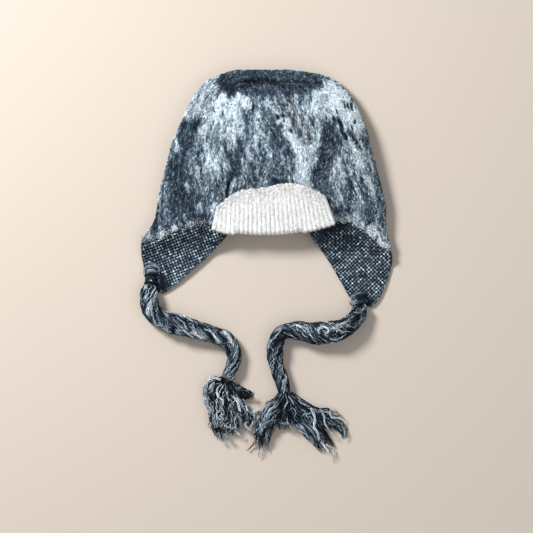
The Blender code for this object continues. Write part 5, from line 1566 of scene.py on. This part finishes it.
def seam_tufts(side, seam, seed, count):
    """Tufts of the crown's felt that straggle over the top of a flap."""
    r_ = np.random.default_rng(seed)
    x = r_.uniform(min(seam) - 0.5, max(seam) + 0.5, count)
    y, z = rim_line(x)
    z = z + FELT / 2
    clump = layers(x / 3.2, y / 3.2, octaves=2, seed=seed + 1)
    reach = r_.normal(0, 1, count) * 1.7 + 2.8 * clump - 0.2
    drop = np.clip(-reach, 0, 8)                      # below the rim line, on the flap
    yy = y + reach
    tone, brown, lean = felt_tone(x, np.maximum(yy, y + 0.5) + 1.0, z, np.ones(count))
    tone = tone + r_.normal(0, 0.16, count) + 0.25 * np.clip(clump, 0, 1)
    px, py = to_px(x, yy)
    white = np.zeros(count)
    for whose, x0, y0, x1, y1, w in SEAM_WHITE:
        if whose == side:
            f = np.clip(((px - x0) * (x1 - x0) + (py - y0) * (y1 - y0)) / ((x1 - x0) ** 2 + (y1 - y0) ** 2), 0, 1)
            away = np.hypot(px - x0 - f * (x1 - x0), py - y0 - f * (y1 - y0)) / w
            white = np.maximum(white, np.exp(-away**2))
    chance = r_.uniform(0, 1, count)
    tone = np.where(chance < 0.12 + 0.55 * white, 0.94, np.where(chance > 0.90, 0.04, np.clip(tone, 0, 1)))
    zz = z + 0.35 - drop * 0.32
    long = r_.uniform(1.8, 4.4, count)
    spin = lean + r_.normal(0, 0.7, count)
    bow = r_.normal(0, 0.5, count)
    path = np.zeros((count, 4, 3))
    for k, f in enumerate((-0.5, -0.17, 0.17, 0.5)):
        go = f * long
        aside = bow * (1 - (2 * f) ** 2)
        path[:, k, 0] = x + np.sin(spin) * go + np.cos(spin) * aside
        path[:, k, 1] = yy - np.cos(spin) * go + np.sin(spin) * aside
        path[:, k, 2] = zz + (0.0, 0.4, 0.35, 0.0)[k] - np.maximum(go, 0) * 0.30
    up = np.tile([0.0, 0.0, 1.0], (count, 1))
    piece = make_piece(f"{side}_seam_tufts", *spindle_parts(path, r_.uniform(0.2, 0.42, count), wool(tone, brown), up), fibre_stuff)
    return piece


# ============================================================ build
crown = make_crown()
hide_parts("crown")
fuzz_a = felt_fibres("crown_fibres_long", 13000, -0.35, math.pi + 0.35, 5.6, 0.30, 51)
fuzz_b = felt_fibres("crown_fibres_short", 13000, -0.35, math.pi + 0.35, 3.2, 0.28, 52)

brim, brim_line, brim_n, brim_h, brim_share = make_brim()
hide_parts("front_brim")
brim_fuzz = brim_fibres(brim_line, brim_n, brim_h)

seam_tufts("left", LEFT_SEAM, 111, 2600)
seam_tufts("right", RIGHT_SEAM, 121, 3800)

# painted shadows on the flaps, beside the tie knots and by the brim's right end
LEFT_PAINTED_SHADOWS = [(162, 289, 9, 9, 0.85), (152, 284, 6, 5, 0.6)]        # px, py, half_w, half_h, amount
RIGHT_PAINTED_SHADOWS = [(371, 303, 8, 7, 0.7), (338, 223, 12, 7, 0.85), (324, 230, 10, 5, 0.6)]
for side, seam, table, tilt, seed, dark in (("left", LEFT_SEAM, LEFT_FLAP, 21, 61, LEFT_PAINTED_SHADOWS),
                                            ("right", RIGHT_SEAM, RIGHT_FLAP, -47, 71, RIGHT_PAINTED_SHADOWS)):
    ground, stitches, border, grid = make_flap(side, seam, table, tilt, seed, dark)
    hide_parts(f"ear_flap_{side}")

for side, table, locks, seed in (("left", LEFT_TIE, LEFT_LOCKS, 81), ("right", RIGHT_TIE, RIGHT_LOCKS, 91)):
    rope, fibres, line, s = make_tie(side, table, seed)
    thick, thin = make_tassel(side, locks, seed + 5)
    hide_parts(f"tie_{side}")
    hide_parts(f"tassel_{side}")
    tuple(float(v) * MM for v in line[0])
    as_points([tuple(float(v) * MM for v in q) for q in line[::10]] + [tuple(float(v) * MM for v in line[-1])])

for side, centre, wide, high, tilt, seed in (("left", (-120.5, -124.6), 6.4, 4.6, 2, 101), ("right", (100.9, -146.0), 7.0, 4.8, 4, 102)):
    knot = make_knot(side, centre, wide, high, tilt, seed)
    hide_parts(f"tie_knot_{side}")

# ============================================================ floor, light, camera
floor_mesh = bpy.data.meshes.new("floor")
floor_mesh.from_pydata([(-3, -3, 0), (3, -3, 0), (3, 3, 0), (-3, 3, 0)], [], [(0, 1, 2, 3)])
floor = bpy.data.objects.new("floor", floor_mesh)
bpy.context.scene.collection.objects.link(floor)
pale = bpy.data.materials.new("pale_floor")
pale.use_nodes = True
shade = pale.node_tree.nodes["Principled BSDF"]
shade.inputs["Base Color"].default_value = (0.60, 0.52, 0.45, 1)
shade.inputs["Roughness"].default_value = 0.8
floor_mesh.materials.append(pale)


def lamp(name, place, aim, size, power, colour=(1, 1, 1)):
    light = bpy.data.lights.new(name, "AREA")
    light.shape, light.size, light.energy, light.color = "DISK", size, power, colour
    lamp_ = bpy.data.objects.new(name, light)
    bpy.context.scene.collection.objects.link(lamp_)
    lamp_.location = place
    away = np.array(place, float) - np.array(aim, float)
    from mathutils import Vector
    lamp_.rotation_euler = Vector(away).to_track_quat("Z", "Y").to_euler()
    return lamp_


lamp("key", (-0.95, 0.75, 1.15), (0, -0.05, 0), 0.50, 36)
lamp("fill", (0.9, -0.9, 1.6), (0, -0.1, 0), 1.6, 7)
world = bpy.data.worlds.new("studio") if bpy.context.scene.world is None else bpy.context.scene.world
bpy.context.scene.world = world
world.use_nodes = True
world.node_tree.nodes["Background"].inputs["Color"].default_value = (0.95, 0.98, 1.0, 1)
world.node_tree.nodes["Background"].inputs["Strength"].default_value = 0.38

camera = bpy.data.objects.new("camera", bpy.data.cameras.new("camera"))
bpy.context.scene.collection.objects.link(camera)
middle_x, middle_y = at(266.5, 266.5)
camera.location = (middle_x * MM, middle_y * MM, 1.6)
camera.rotation_euler = (0, 0, 0)
camera.data.type = "ORTHO"
camera.data.ortho_scale = 533 * PIXEL * MM
camera.data.clip_end = 10
bpy.context.scene.camera = camera
bpy.context.scene.view_settings.view_transform = "Standard"
